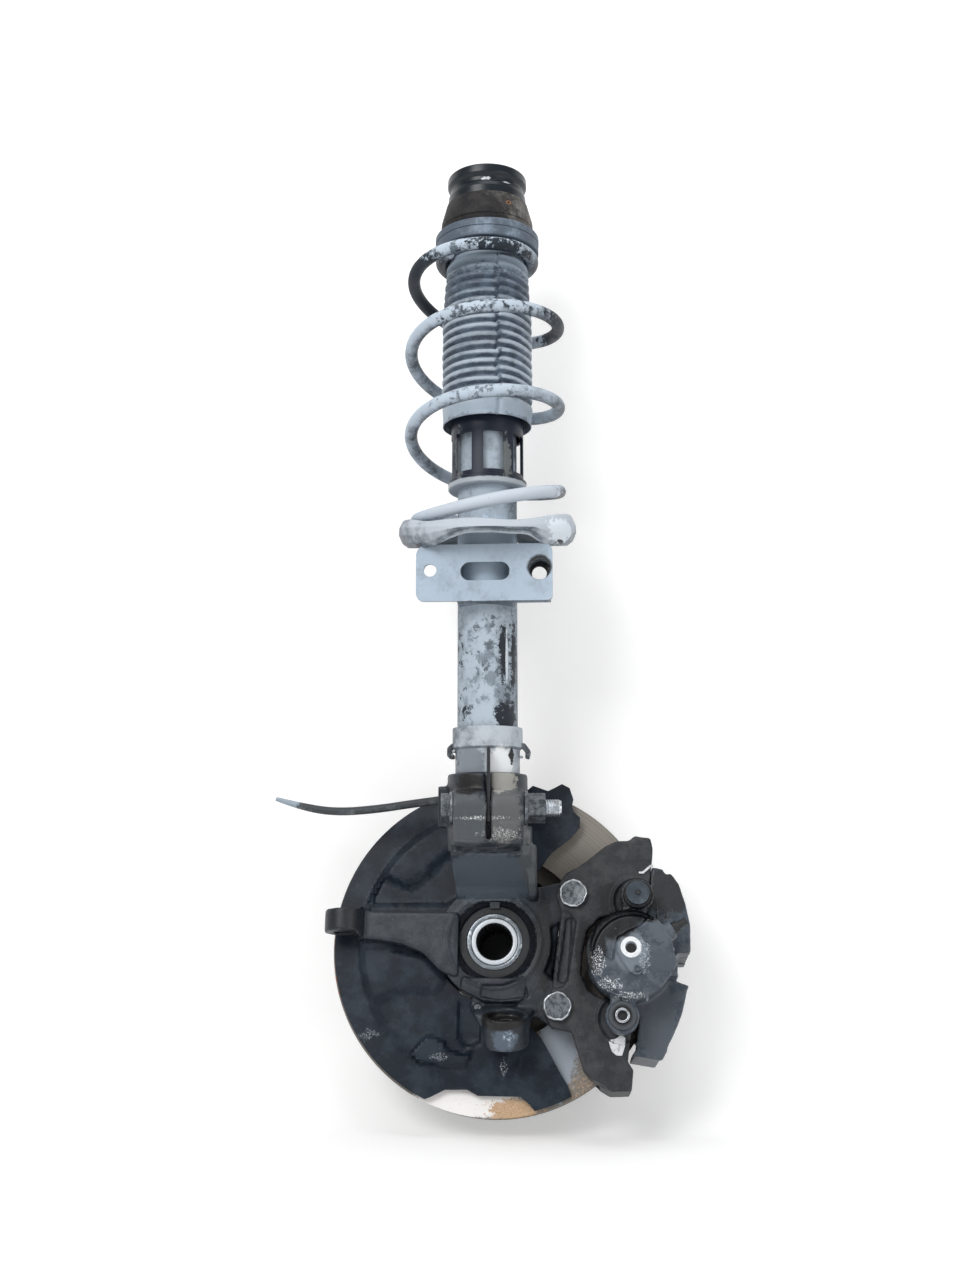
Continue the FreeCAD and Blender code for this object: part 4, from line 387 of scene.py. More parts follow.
def lumps(points, size, shift=0.0):
    """Smooth noise: random numbers on a cubic lattice, blended by 3t^2 - 2t^3 between corners."""
    spot = points / size + shift
    cell = np.floor(spot).astype(int)
    part = spot - cell
    part = part * part * (3 - 2 * part)
    total = np.zeros(len(points))
    for step in np.ndindex(2, 2, 2):
        corner = LATTICE[tuple((cell + step).T % 32)]
        total += corner * np.prod(np.where(step, part, 1 - part), axis=1)
    return total


def read_points(mesh):
    points = np.empty(len(mesh.vertices) * 3, np.float32)
    mesh.vertices.foreach_get("co", points)
    return points.reshape(-1, 3).astype(float) / MM


def write_points(mesh, points):
    mesh.vertices.foreach_set("co", (points * MM).astype(np.float32).ravel())
    mesh.update()


def read_normals(mesh):
    normals = np.empty(len(mesh.vertices) * 3, np.float32)
    mesh.vertex_normals.foreach_get("vector", normals)
    return normals.reshape(-1, 3).astype(float)


def node_copy(node):
    """A merged copy of a CAD node's mesh, because the node's own mesh is loose triangles."""
    return weld(frame["nodes"][node].data.copy(), 0.001)


def joined(name, meshes):
    """Several meshes as one object; where they overlap, the rebuild makes them one skin."""
    work = bmesh.new()
    for mesh in meshes:
        work.from_mesh(mesh)
        bpy.data.meshes.remove(mesh)
    mesh = bpy.data.meshes.new(name)
    work.to_mesh(mesh)
    work.free()
    return show(mesh, name)


def onto_cylinder(points, where, radius, low, high, catch):
    """Points within catch of a cylinder, between two local z levels, moved onto it."""
    local = drawn_in(points, where)
    away = np.hypot(local[:, 0], local[:, 1])
    near = (np.abs(away - radius) < catch) & (local[:, 2] > low) & (local[:, 2] < high)
    scale = np.where(near, radius / np.maximum(away, 1e-6), 1)
    local[:, :2] *= scale[:, None]
    return place(local, where)


def onto_plane(points, where, level, radius, catch):
    """Points within catch of a local z level and inside a radius, moved onto that level."""
    local = drawn_in(points, where)
    near = (np.abs(local[:, 2] - level) < catch) & (np.hypot(local[:, 0], local[:, 1]) < radius)
    local[:, 2] = np.where(near, level, local[:, 2])
    return place(local, where)


def cast(name, meshes, soften, lump=0.12, rounds=(), flats=()):
    """Rebuild overlapping solids as one skin on a grid, smooth it, then restore its machining."""
    piece = joined(name, meshes)
    rebuild = piece.modifiers.new("rebuild", "REMESH")
    rebuild.mode = "VOXEL"
    rebuild.voxel_size = CAST_GRID * MM
    smooth = piece.modifiers.new("soften", "SMOOTH")
    smooth.factor = 0.5
    smooth.iterations = soften
    baked(piece)
    points = read_points(piece.data)
    normals = read_normals(piece.data)
    rough = 0.6 * lumps(points, 9) + 0.4 * lumps(points, 3.5, 5.3)
    points = points + normals * (rough * lump)[:, None]
    for where, radius, low, high, catch in rounds:
        points = onto_cylinder(points, where, radius, low, high, catch)
    for where, level, radius, catch in flats:
        points = onto_plane(points, where, level, radius, catch)
    write_points(piece.data, points)
    return piece


# %% [markdown]
# The small forms of a casting or a pressing, such as a bead, a pocket or a step, are heights
# over its front. Each is worked out from a distance: to a line, or to an outline. `relief`
# adds such heights to the skin that faces a frame's z axis and leaves its sides alone.

# %% Beads, pockets and steps


def eased(value, start, end):
    """0 before the start, 1 after the end, and 3s^2 - 2s^3 between."""
    share = np.clip((value - start) / (end - start), 0, 1)
    return share * share * (3 - 2 * share)


def line_distance(x, y, path):
    """Distance to the nearest straight piece of a path: to the foot of the perpendicular."""
    nearest = np.full(x.shape, np.inf)
    for (ax, ay), (bx, by) in zip(path[:-1], path[1:]):
        dx, dy = bx - ax, by - ay
        share = np.clip(((x - ax) * dx + (y - ay) * dy) / (dx * dx + dy * dy), 0, 1)
        nearest = np.minimum(nearest, np.hypot(x - ax - share * dx, y - ay - share * dy))
    return nearest


def depth_inside(x, y, outline):
    """Distance to a closed outline, over 0 inside, where a ray crosses the outline oddly."""
    ring = list(outline) + [outline[0]]
    inside = np.zeros(x.shape, bool)
    for (ax, ay), (bx, by) in zip(ring[:-1], ring[1:]):
        if ay != by:
            crossing = (bx - ax) * (y - ay) / (by - ay) + ax
            inside ^= ((ay > y) != (by > y)) & (x < crossing)
    return np.where(inside, 1, -1) * line_distance(x, y, ring)


def bead(x, y, path, width, height):
    """A round-topped ridge along a path; a height under 0 makes a groove."""
    return height * (1 - eased(line_distance(x, y, path), 0.15 * width, 0.6 * width))


def panel(x, y, outline, height, slope=2.0):
    """A raised or sunk area with a sloping edge inside its outline."""
    return height * eased(depth_inside(x, y, outline), 0, slope)


def ring_bead(x, y, radius, width, height, centre=(0, 0)):
    """A round-topped ridge along a circle."""
    away = np.abs(np.hypot(x - centre[0], y - centre[1]) - radius)
    return height * (1 - eased(away, 0.15 * width, 0.6 * width))


def relief(piece, where, low, high, shape, facing=0.35):
    """Skin between two local z levels moved by shape(x, y), where its normal faces z."""
    points = read_points(piece.data)
    local = drawn_in(points, where)
    toward = read_normals(piece.data) @ where[:3, 2]
    share = eased(toward, facing, facing + 0.3) * (local[:, 2] > low) * (local[:, 2] < high)
    local[:, 2] += share * shape(local[:, 0], local[:, 1])
    write_points(piece.data, place(local, where))


def netted(node, name, where, step):
    """A merged copy of a sheet cut along a square net, so that it has points to move."""
    mesh = node_copy(node)
    local = drawn_in(read_points(mesh), where)
    work = bmesh.new()
    work.from_mesh(mesh)
    for axis in (0, 1):
        for level in np.arange(local[:, axis].min() + step, local[:, axis].max(), step):
            spot = (where[:3, 3] + where[:3, axis] * level) * MM
            whole = work.verts[:] + work.edges[:] + work.faces[:]
            bmesh.ops.bisect_plane(work, geom=whole, dist=0.01 * MM, plane_co=spot, plane_no=where[:3, axis])
    work.to_mesh(mesh)
    work.free()
    return show(mesh, name)


# %% [markdown]
# Machined and pressed pieces keep the solid from the engineering model. A copy of it is merged
# and its edges are broken by a bevel, as a file or a press leaves them. Where a piece ends
# differently from its solid, `drilled` takes cutters away from it and `sliced` cuts an end off.

# %% Broken edges, cuts and slices


def bevelled(node, width, body, material, slot, segments=2, piece=None):
    """A merged copy of a machined or pressed CAD node with its edges broken by a bevel."""
    piece = piece or show(node_copy(node), node + "_finished")
    edge = piece.modifiers.new("broken_edges", "BEVEL")
    edge.width = width * MM
    edge.segments = segments
    edge.limit_method = "ANGLE"
    edge.angle_limit = math.radians(35)
    return carry(piece, body, material, slot, node)


def drilled(piece, cutters):
    """The piece with each cutter taken away from it."""
    for cutter in cutters:
        cut = piece.modifiers.new("cut", "BOOLEAN")
        cut.operation = "DIFFERENCE"
        cut.solver = "EXACT"
        cut.object = cutter
    baked(piece)
    for cutter in cutters:
        mesh = cutter.data
        bpy.data.objects.remove(cutter)
        bpy.data.meshes.remove(mesh)
    return piece


def sliced(mesh, spot, way):
    """The mesh cut by a plane through the spot. What lies along the way goes; the cut is closed."""
    work = bmesh.new()
    work.from_mesh(mesh)
    cut = bmesh.ops.bisect_plane(work, geom=work.verts[:] + work.edges[:] + work.faces[:], clear_outer=True,
        plane_co=np.array(spot) * MM, plane_no=way)
    rim = [item for item in cut["geom_cut"] if isinstance(item, bmesh.types.BMEdge)]
    bmesh.ops.holes_fill(work, edges=rim)
    work.to_mesh(mesh)
    work.free()
    return mesh


# %% [markdown]
# Now the materials. The photographed corner is used: its black paint is dusted with a pale
# blue-grey film on everything that faced the road and the camera, its castings are rough and
# dark, and bare steel has rust. Shared groups make those effects. They put out masks and
# heights only, so each material still builds its own shader.

# %% Tools for node trees


def new_group(name, inputs, outputs):
    """A node group with named inputs, each a number or three numbers, and named outputs."""
    tree = bpy.data.node_groups.new(name, "ShaderNodeTree")
    for label, value in inputs:
        kind = "NodeSocketVector" if isinstance(value, tuple) else "NodeSocketFloat"
        tree.interface.new_socket(label, in_out="INPUT", socket_type=kind).default_value = value
    for label in outputs:
        tree.interface.new_socket(label, in_out="OUTPUT", socket_type="NodeSocketFloat")
    return tree, tree.nodes.new("NodeGroupInput").outputs, tree.nodes.new("NodeGroupOutput").inputs


def fill(tree, inputs, *in_order, **by_name):
    """Inputs filled in their order or by name: a number is put there, an output is linked.

    An underscore in a name stands for a space.
    """
    pairs = list(zip(inputs, in_order))
    pairs += [(inputs[label.replace("_", " ")], value) for label, value in by_name.items()]
    for entry, value in pairs:
        if isinstance(value, (int, float, tuple)):
            entry.default_value = value
        else:
            tree.links.new(value, entry)


def new_node(tree, kind, *in_order, **by_name):
    """A shader node with its inputs filled."""
    node = tree.nodes.new("ShaderNode" + kind)
    fill(tree, node.inputs, *in_order, **by_name)
    return node


def use_group(tree, group, **values):
    """A group placed in a material, with a value on each input that is named."""
    node = tree.nodes.new("ShaderNodeGroup")
    node.node_tree = group
    fill(tree, node.inputs, **values)
    return node.outputs


def noise(tree, size, detail, rough):
    """Fractal noise in object space. Size is the width of one blotch in millimetres."""
    spot = new_node(tree, "TexCoord").outputs["Object"]
    made = new_node(tree, "TexNoise", Vector=spot, Scale=1 / (size * MM), Detail=detail, Roughness=rough)
    return made.outputs["Fac"]


def new_material(name):
    """An empty material: itself, its node tree and the inputs of its Principled shader."""
    material = bpy.data.materials.new(name)
    material.use_nodes = True
    return material, material.node_tree, material.node_tree.nodes["Principled BSDF"].inputs


def add_bump(tree, shader, height, strength, distance):
    """The height, in millimetres, joined to the shader's normal."""
    bump = new_node(tree, "Bump", Strength=strength, Distance=distance * MM, Height=height)
    fill(tree, shader, Normal=bump.outputs["Normal"])


def sums(tree, what, *values):
    node = tree.nodes.new("ShaderNodeMath")
    node.operation = what
    fill(tree, node.inputs, *values)
    return node.outputs[0]


def vector_sums(tree, what, *values):
    node = tree.nodes.new("ShaderNodeVectorMath")
    node.operation = what
    fill(tree, node.inputs, *values)
    return node.outputs["Value" if what in ("LENGTH", "DOT_PRODUCT") else "Vector"]


def smooth_step(tree, value, low, high):
    """A smooth step from 0 at low to 1 at high."""
    node = new_node(tree, "MapRange", value, low, high)
    node.interpolation_type = "SMOOTHSTEP"
    return node.outputs["Result"]


def between(tree, mask, low, high):
    """A number that is low where the mask is 0 and high where it is 1."""
    return new_node(tree, "MapRange", Value=mask, To_Min=low, To_Max=high).outputs["Result"]


def blend(tree, mask, first, second):
    """Mix two colours by a mask; a colour is a tuple or another node's output."""
    node = tree.nodes.new("ShaderNodeMix")
    node.data_type = "RGBA"
    tree.links.new(mask, node.inputs["Factor"])
    for label, value in (("A", first), ("B", second)):
        wanted = [item for item in node.inputs if item.name == label and item.type == "RGBA"][0]
        if isinstance(value, tuple):
            wanted.default_value = (*value, 1)
        else:
            tree.links.new(value, wanted)
    return [item for item in node.outputs if item.type == "RGBA"][0]


# %% [markdown]
# Road film settles where a surface faces the spray. The mask compares the surface's normal
# with the direction from which the film came, and noise breaks its border into blotches.

# %% Shared group: road film
film_group, film_in, film_out = new_group("road_film", [("From", (-0.2, -0.9, 0.35)), ("Amount", 0.5)],
    ["Mask"])
skin = new_node(film_group, "NewGeometry")
facing = vector_sums(film_group, "DOT_PRODUCT", skin.outputs["Normal"], film_in["From"])
film_level = sums(film_group, "MULTIPLY", facing, 0.45)
for size, detail, rough, weight in ((18, 6, 0.62, 1.1), (3.2, 5, 0.7, 0.45)):
    part = sums(film_group, "MULTIPLY", noise(film_group, size, detail, rough), weight)
    film_level = sums(film_group, "ADD", film_level, part)
film_level = sums(film_group, "ADD", film_level, film_in["Amount"])
fill(film_group, film_out, Mask=smooth_step(film_group, film_level, 1.15, 1.75))
print("road film group with", len(film_group.nodes), "nodes")

# %% [markdown]
# Sand leaves a grain in cast iron and a softer one in worn paint. One group gives a height for
# the Bump node, made of a coarse and a fine noise, and a second mask of small pits and chips.

# %% Shared group: surface grain
grain_group, grain_in, grain_out = new_group("surface_grain", [("Coarse", 0.6), ("Fine", 0.4)],
    ["Height", "Chips"])
coarse_part = sums(grain_group, "MULTIPLY", noise(grain_group, 2.6, 3, 0.6), grain_in["Coarse"])
fine_part = sums(grain_group, "MULTIPLY", noise(grain_group, 0.7, 3, 0.6), grain_in["Fine"])
fill(grain_group, grain_out, Height=sums(grain_group, "ADD", coarse_part, fine_part),
    Chips=smooth_step(grain_group, noise(grain_group, 2.2, 6, 0.8), 0.64, 0.69))
print("grain group with", len(grain_group.nodes), "nodes")

# %% [markdown]
# Edges lose their paint first, and the paler tint given to them also serves as a painted
# highlight along them. On a dense mesh the Geometry node's Pointiness tells how sharply a
# surface bends outwards, and a narrow step picks the edges.

# %% Shared group: worn edges
edge_group, edge_in, edge_out = new_group("worn_edges", [("Start", 0.52), ("Full", 0.58)], ["Mask"])
skin = new_node(edge_group, "NewGeometry")
edge_part = smooth_step(edge_group, skin.outputs["Pointiness"], edge_in["Start"], edge_in["Full"])
edge_break = smooth_step(edge_group, noise(edge_group, 6, 5, 0.7), 0.38, 0.62)
fill(edge_group, edge_out, Mask=sums(edge_group, "MULTIPLY", edge_part, edge_break))
print("edge group with", len(edge_group.nodes), "nodes")

# %% [markdown]
# Some marks sit at one place: a bare patch, a dark smear, a spot of rust, and also painted
# highlights and painted shade. This group measures how far a point is from a centre, in
# shares of a size for each direction, and noise makes the patch's border ragged.

# %% Shared group: ragged patch
TO_MM = (1000.0, 1000.0, 1000.0)
patch_group, patch_in, patch_out = new_group("ragged_patch", [("Centre", (0.0, 0.0, 0.0)),
    ("Size", (10.0, 10.0, 10.0)), ("Ragged", 0.5)], ["Mask"])
spot = new_node(patch_group, "TexCoord")
patch_spot = vector_sums(patch_group, "MULTIPLY", spot.outputs["Object"], TO_MM)
patch_spot = vector_sums(patch_group, "SUBTRACT", patch_spot, patch_in["Centre"])
patch_spot = vector_sums(patch_group, "DIVIDE", patch_spot, patch_in["Size"])
patch_away = vector_sums(patch_group, "LENGTH", patch_spot)
patch_noise = sums(patch_group, "SUBTRACT", noise(patch_group, 5, 6, 0.72), 0.5)
patch_noise = sums(patch_group, "MULTIPLY", patch_noise, patch_in["Ragged"])
patch_away = sums(patch_group, "ADD", patch_away, sums(patch_group, "MULTIPLY", patch_noise, 4.0))
patch_mask = sums(patch_group, "SUBTRACT", 1.0, smooth_step(patch_group, patch_away, 0.85, 1.1))
fill(patch_group, patch_out, Mask=patch_mask)
print("patch group with", len(patch_group.nodes), "nodes")


def at(where, x, y, z):
    """A point of a frame in the object's millimetres, for the centre of a patch."""
    return tuple(float(value) for value in place(np.array([[x, y, z]], float), where)[0])


# %% [markdown]
# One recipe serves most pieces: a base colour, a second colour in blotches, patches at stated
# places, the road film, chips and worn edges, a painted highlight on crests, and grain as
# bump. Each piece states its own numbers. A patch is a colour, a centre, a size and how ragged
# it is, in millimetres.

# %% The recipe for a worn surface
FILM_ROUGHNESS = 0.7
ACROSS_TO_MM = (1000.0, 1000.0, 0.0)


def marked(tree, colour, marks):
    """Marks laid over a colour: (tint, centre, size, ragged), and the size of its specks if broken."""
    for tint, centre, size, ragged, *specks in marks:
        mask = use_group(tree, patch_group, Centre=centre, Size=size, Ragged=ragged)["Mask"]
        if specks:
            mask = sums(tree, "MULTIPLY", mask, smooth_step(tree, noise(tree, specks[0], 4, 0.7), 0.5, 0.6))
        colour = blend(tree, mask, colour, tint)
    return colour


def layered_colour(tree, colour, grain, blotch, patches, film, late_patches, chips, edges):
    """The colour layers over each other, lowest first; the film's mask is handed back too."""
    film_mask = None
    if blotch:
        tint, size, low, high = blotch
        colour = blend(tree, smooth_step(tree, noise(tree, size, 6, 0.65), low, high), colour, tint)
    colour = marked(tree, colour, patches)
    if film:
        tint, amount, wind = film
        film_mask = use_group(tree, film_group, From=wind, Amount=amount)["Mask"]
        colour = blend(tree, film_mask, colour, tint)
    colour = marked(tree, colour, late_patches)
    if chips:
        colour = blend(tree, grain["Chips"], colour, chips)
    if edges:
        tint, start, full = edges
        colour = blend(tree, use_group(tree, edge_group, Start=start, Full=full)["Mask"], colour, tint)
    return colour, film_mask


def surface(name, base, blotch=None, patches=(), film=None, late_patches=(), chips=None, edges=None,
            rough=0.5, metal=0.0, grain=0.2, distance=0.3, shine=0.5, crest_highlight=None):
    """A material of layers on one Principled shader; the film is rougher than what it covers."""
    material, tree, shader = new_material(name)
    grain_marks = use_group(tree, grain_group)
    colour, film_mask = layered_colour(tree, base, grain_marks, blotch, patches, film, late_patches, chips,
        edges)
    # Painted highlight: a pale tint on the skin that lies furthest from the axis, such as rib crests.
    if crest_highlight:
        tint, low, high = crest_highlight
        spot = new_node(tree, "TexCoord")
        away = vector_sums(tree, "LENGTH", vector_sums(tree, "MULTIPLY", spot.outputs["Object"],
            ACROSS_TO_MM))
        ragged = sums(tree, "MULTIPLY", sums(tree, "SUBTRACT", noise(tree, 9, 5, 0.7), 0.5), 3.0)
        colour = blend(tree, smooth_step(tree, sums(tree, "ADD", away, ragged), low, high), colour, tint)
    if film_mask:
        rough = between(tree, film_mask, rough, FILM_ROUGHNESS)
    if isinstance(colour, tuple):
        colour = (*colour, 1)
    fill(tree, shader, Base_Color=colour, Roughness=rough, Metallic=metal, Specular_IOR_Level=shine)
    add_bump(tree, shader, grain_marks["Height"], grain, distance)
    return material


# %% [markdown]
# The upper end: black rubber with white nicks, a brown moulded shell that is dusty on the side
# away from the wheel, and the pad under it, which is as pale as the coil that it presses on.

# %% Finishes of the upper end
ROAD_WIND = (-0.2, -0.9, 0.35)
mount_black = surface("mount_black_rubber", (0.008, 0.013, 0.019), film=((0.06, 0.075, 0.09), -0.08,
    ROAD_WIND), late_patches=[((0.6, 0.64, 0.68), (2, -34, -14), (3.6, 5, 1.3), 1.2), ((0.5, 0.54, 0.58),
    (19, -28, -16), (3, 6, 1.1), 1.4)], rough=0.3, grain=0.3, shine=0.35)
# The shell's brown nick has a near-black centre, which is painted shade inside it.
shell_dusty = surface("dusty_bearing_shell", (0.013, 0.012, 0.014), blotch=((0.027, 0.025, 0.025), 12, 0.42,
    0.6), film=((0.25, 0.24, 0.22), 0.22, (0.95, -0.2, 0.1)), rough=0.6, grain=0.35, shine=0.2,
    late_patches=[((0.3, 0.14, 0.06), (21, -32, -38), (2.2, 5, 2.2), 0.3), ((0.01, 0.01, 0.01),
    (21, -32, -38), (1.3, 5, 1.3), 0.1)])
pan_black = surface("upper_seat_black", (0.02, 0.026, 0.034), film=((0.08, 0.1, 0.12), 0.0, ROAD_WIND),
    rough=0.4)
pad_grey = surface("spring_pad_rubber", (0.08, 0.105, 0.14), film=((0.3, 0.37, 0.46), 0.16, (0.3, -0.8, 0.3)),
    chips=(0.03, 0.04, 0.055), rough=0.6, grain=0.3, shine=0.4)

# %% [markdown]
# The spring is black paint under a thick pale film that stops along the wire's lower back.
# Near its upper left it stayed black; a black patch on its right side is painted shade where
# the coils turn away. The bellows keeps a dull blue-grey, and the pale colour on its crests is
# a painted highlight.
# Near its upper left it stayed black. The bellows keeps a dull blue-grey, with light crests.

# %% Finishes of the spring and the bellows
PAINT_BLACK = (0.013, 0.02, 0.031)
# The black patch at x 62, on the coils' right side, is painted shade.
spring_paint = surface("spring_paint", PAINT_BLACK, film=((0.5, 0.58, 0.67), 0.66, (-0.35, -0.9, 0.15)),
    late_patches=[((0.085, 0.107, 0.132), (8, -74, -158), (64, 30, 20), 0.3, 15), ((0.04, 0.052, 0.068),
    (8, -74, -158), (64, 30, 20), 0.5, 6), ((0.11, 0.14, 0.17), (-34, -50, -88), (34, 40, 18), 0.5, 9),
    ((0.17, 0.205, 0.25), (8, -76, -232), (60, 30, 18), 0.5, 7), (PAINT_BLACK, (-60, 0, -102), (32, 60, 34),
    0.4), (PAINT_BLACK, (62, 0, -142), (22, 50, 22), 0.6), (PAINT_BLACK, (20, -44, -86), (34, 26, 9), 1.3),
    ((0.56, 0.62, 0.69), (20, -50, -312), (80, 50, 22), 0.5)], chips=(0.03, 0.045, 0.065), rough=0.38,
    grain=0.3, shine=0.4)
# The pale crest colour is a painted highlight on the ribs.
bellows_rubber = surface("bellows_rubber", (0.075, 0.1, 0.135), blotch=((0.16, 0.2, 0.26), 14, 0.4, 0.62),
    film=((0.4, 0.48, 0.56), 0.16, (0.1, -0.6, 0.75)), crest_highlight=((0.42, 0.49, 0.56), 38.0, 39.8), rough=0.45,
    grain=0.3, shine=0.4, late_patches=[((0.26, 0.32, 0.385), (0, 0, -86), (60, 60, 16), 0.7),
    ((0.34, 0.41, 0.49), (0, 0, -223), (60, 60, 9), 0.35)])
foam_bump = surface("bump_stop_foam", (0.12, 0.12, 0.11), blotch=((0.18, 0.18, 0.165), 4, 0.4, 0.6),
    rough=0.9, grain=0.5)
rod_chrome = surface("rod_chrome", (0.7, 0.72, 0.74), blotch=((0.62, 0.64, 0.66), 20, 0.45, 0.6), metal=1.0,
    rough=0.12, grain=0.02)

# %% [markdown]
# The cage is glossy black plastic with pale streaks, and two grey patches near its windows are
# a painted reflection. The tube's paint shows black in two patches at its left edge and in
# stripes down its right. A pale patch just under the seat is painted light, and a thin pale
# streak beside those stripes is a painted highlight.

# %% Finishes of the strut
# The two grey patches near the cage's windows are a painted reflection.
cage_gloss = surface("cage_black_plastic", (0.012, 0.017, 0.032), film=((0.2, 0.24, 0.29), -0.04,
    (-0.2, -0.7, 0.6)), patches=[((0.12, 0.13, 0.14), (-22, -24, -262), (5, 14, 22), 0.9),
    ((0.14, 0.15, 0.15), (18, -26, -268), (4, 14, 18), 1.0)], late_patches=[((0.42, 0.46, 0.5), (0, 0, -288),
    (60, 60, 4.6), 0.12)], rough=0.4, grain=0.12, shine=0.3)
BLACK_PATCH_AND_SLOT_SHADE = (0.012, 0.017, 0.026)
# Painted light: the pale patch at z -352, just under the seat. Painted highlight: the thin pale streak at x
# 17.5 beside the dark stripes.
tube_paint = surface("strut_tube_paint", (0.06, 0.076, 0.096), blotch=((0.11, 0.135, 0.165), 11, 0.45, 0.6),
    film=((0.45, 0.525, 0.6), 0.5, (-0.15, -0.95, 0.1)), late_patches=[((0.22, 0.265, 0.31), (-2, -24, -452),
    (26, 20, 44), 0.4, 17), ((0.12, 0.145, 0.17), (6, -24, -430), (20, 20, 30), 0.4, 8),
    ((0.07, 0.085, 0.105), (18, -20, -444), (10, 16, 40), 0.4, 11), ((0.6, 0.74, 0.88), (0, -20, -352),
    (40, 40, 34), 0.2), (BLACK_PATCH_AND_SLOT_SHADE, (-24, -14, -430), (9, 9, 17), 0.5, 8), (BLACK_PATCH_AND_SLOT_SHADE, (-22, -16, -478),
    (12, 9, 17), 0.5, 8), (BLACK_PATCH_AND_SLOT_SHADE, (15, -22, -432), (3.5, 6, 24), 1.0), (BLACK_PATCH_AND_SLOT_SHADE, (24, -14, -436),
    (3.4, 8, 30), 1.2), ((0.6, 0.66, 0.72), (17.5, -20, -436), (1.1, 4, 26), 0.3),
    (BLACK_PATCH_AND_SLOT_SHADE, (18, -18, -487), (12, 12, 13), 0.8)], chips=(0.07, 0.085, 0.1), rough=0.42, grain=0.3,
    shine=0.4)
# Painted light: the pale patch on the seat's right lobe. Painted shade: the two thin dark slots at the lobes'
# feet, which stand for drain holes.
seat_paint = surface("lower_seat_paint", (0.06, 0.078, 0.1), film=((0.5, 0.55, 0.61), 0.62,
    (0.25, -0.9, 0.3)), late_patches=[((0.74, 0.81, 0.88), at(SEAT, 64, -40, -6), (15, 20, 11), 0.5),
    (BLACK_PATCH_AND_SLOT_SHADE, at(SEAT, -57.7, -50, -15.7), (7, 9, 1.3), 0.15), (BLACK_PATCH_AND_SLOT_SHADE, at(SEAT, 66.4, -37.5, -15),
    (7, 9, 1.5), 0.15)], chips=(0.07, 0.085, 0.11), rough=0.42, grain=0.3)
bracket_paint = surface("link_bracket_paint", (0.12, 0.15, 0.185), blotch=((0.24, 0.29, 0.35), 20, 0.4, 0.6),
    film=((0.43, 0.52, 0.62), 0.42, (-0.1, -1.0, 0.1)), chips=(0.62, 0.68, 0.74),
    late_patches=[((0.06, 0.07, 0.085), (0, -34, -394), (80, 9, 1.2), 0.5), ((0.02, 0.022, 0.025),
    (46, -34, -365), (11, 26, 11), 0.06)], rough=0.45, grain=0.4, distance=0.4)
collar_zinc = surface("collar_zinc", (0.1, 0.12, 0.145), blotch=((0.26, 0.29, 0.33), 9, 0.42, 0.6),
    film=((0.51, 0.56, 0.61), 0.5, (0.45, -0.85, 0.2)), metal=0.1, rough=0.42, grain=0.25,
    late_patches=[((0.24, 0.27, 0.31), (-13, -24, -526), (13, 14, 15), 0.4), ((0.86, 0.89, 0.91),
    (13, -24, -526), (12, 14, 15), 0.3), ((0.02, 0.02, 0.022), (21, -18, -520), (2.6, 5, 6), 0.8)])
fin_dark = surface("fin_steel", (0.03, 0.033, 0.038), film=((0.28, 0.29, 0.3), 0.1, (0.9, -0.3, 0.3)),
    metal=0.4, rough=0.4)

# %% [markdown]
# The knuckle is black-painted iron, dustier and lighter on the clamp's right lug. On the lower
# ball joint's boss, a blue-grey patch with a bright edge is a painted highlight, and its dark
# cup is painted shade.

# %% Finishes of the knuckle and the bearing
# Near-white: a scratch on the clamp, and painted glints along the zinc pieces' edges.
SCRATCH_AND_GLINT_WHITE = (0.75, 0.77, 0.78)
# Painted light and shade among these patches: the lighter patch across the neck is painted light; the pale
# strip on the neck's right ridge and the blue-grey patches on the ball joint's boss are painted highlights;
# the near-black cup of that boss and a near-black strip beside the bearing boss, towards the carrier, are
# painted shade.
iron_cast = surface("knuckle_cast_iron", (0.013, 0.019, 0.027), blotch=((0.029, 0.037, 0.048), 16, 0.42,
    0.62), patches=[((0.07, 0.08, 0.09), (-14, -46, -572), (20, 30, 26), 0.4), ((0.1, 0.106, 0.108),
    (16, -44, -566), (15, 30, 28), 0.35), ((0.36, 0.355, 0.33), (14, -40, -540), (14, 30, 11), 0.4),
    ((0.085, 0.105, 0.13), (2, -10, -624), (46, 60, 28), 0.2), ((0.09, 0.118, 0.155), (14, -28, -748),
    (18, 12, 13), 0.25), ((0.4, 0.48, 0.57), (20, -28, -746), (9, 10, 11), 0.5, 2.5), ((0.09, 0.1, 0.11),
    (36, -10, -600), (9, 40, 44), 0.5)], film=((0.12, 0.132, 0.142), -0.02, (0.2, -0.5, 0.8)),
    late_patches=[((0.012, 0.011, 0.011), (-14, -40, -543), (14, 24, 10), 0.3), ((0.006, 0.005, 0.005),
    (12.3, -11, -732), (19, 24, 8), 0.1), (SCRATCH_AND_GLINT_WHITE, (-2, -50, -571), (22, 12, 1.5), 0.9, 1.2),
    ((0.5, 0.51, 0.5), (14, -50, -584), (14, 12, 5), 0.9, 0.9), ((0.012, 0.015, 0.02), at(HUB, -127, 16, 6),
    (16, 40, 26), 0.3), ((0.006, 0.008, 0.01), (45, 20, -668), (9, 20, 44), 0.3)], chips=(0.34, 0.36, 0.39),
    edges=((0.15, 0.175, 0.205), 0.54, 0.64), rough=0.42, grain=0.5, distance=0.45, shine=0.4)
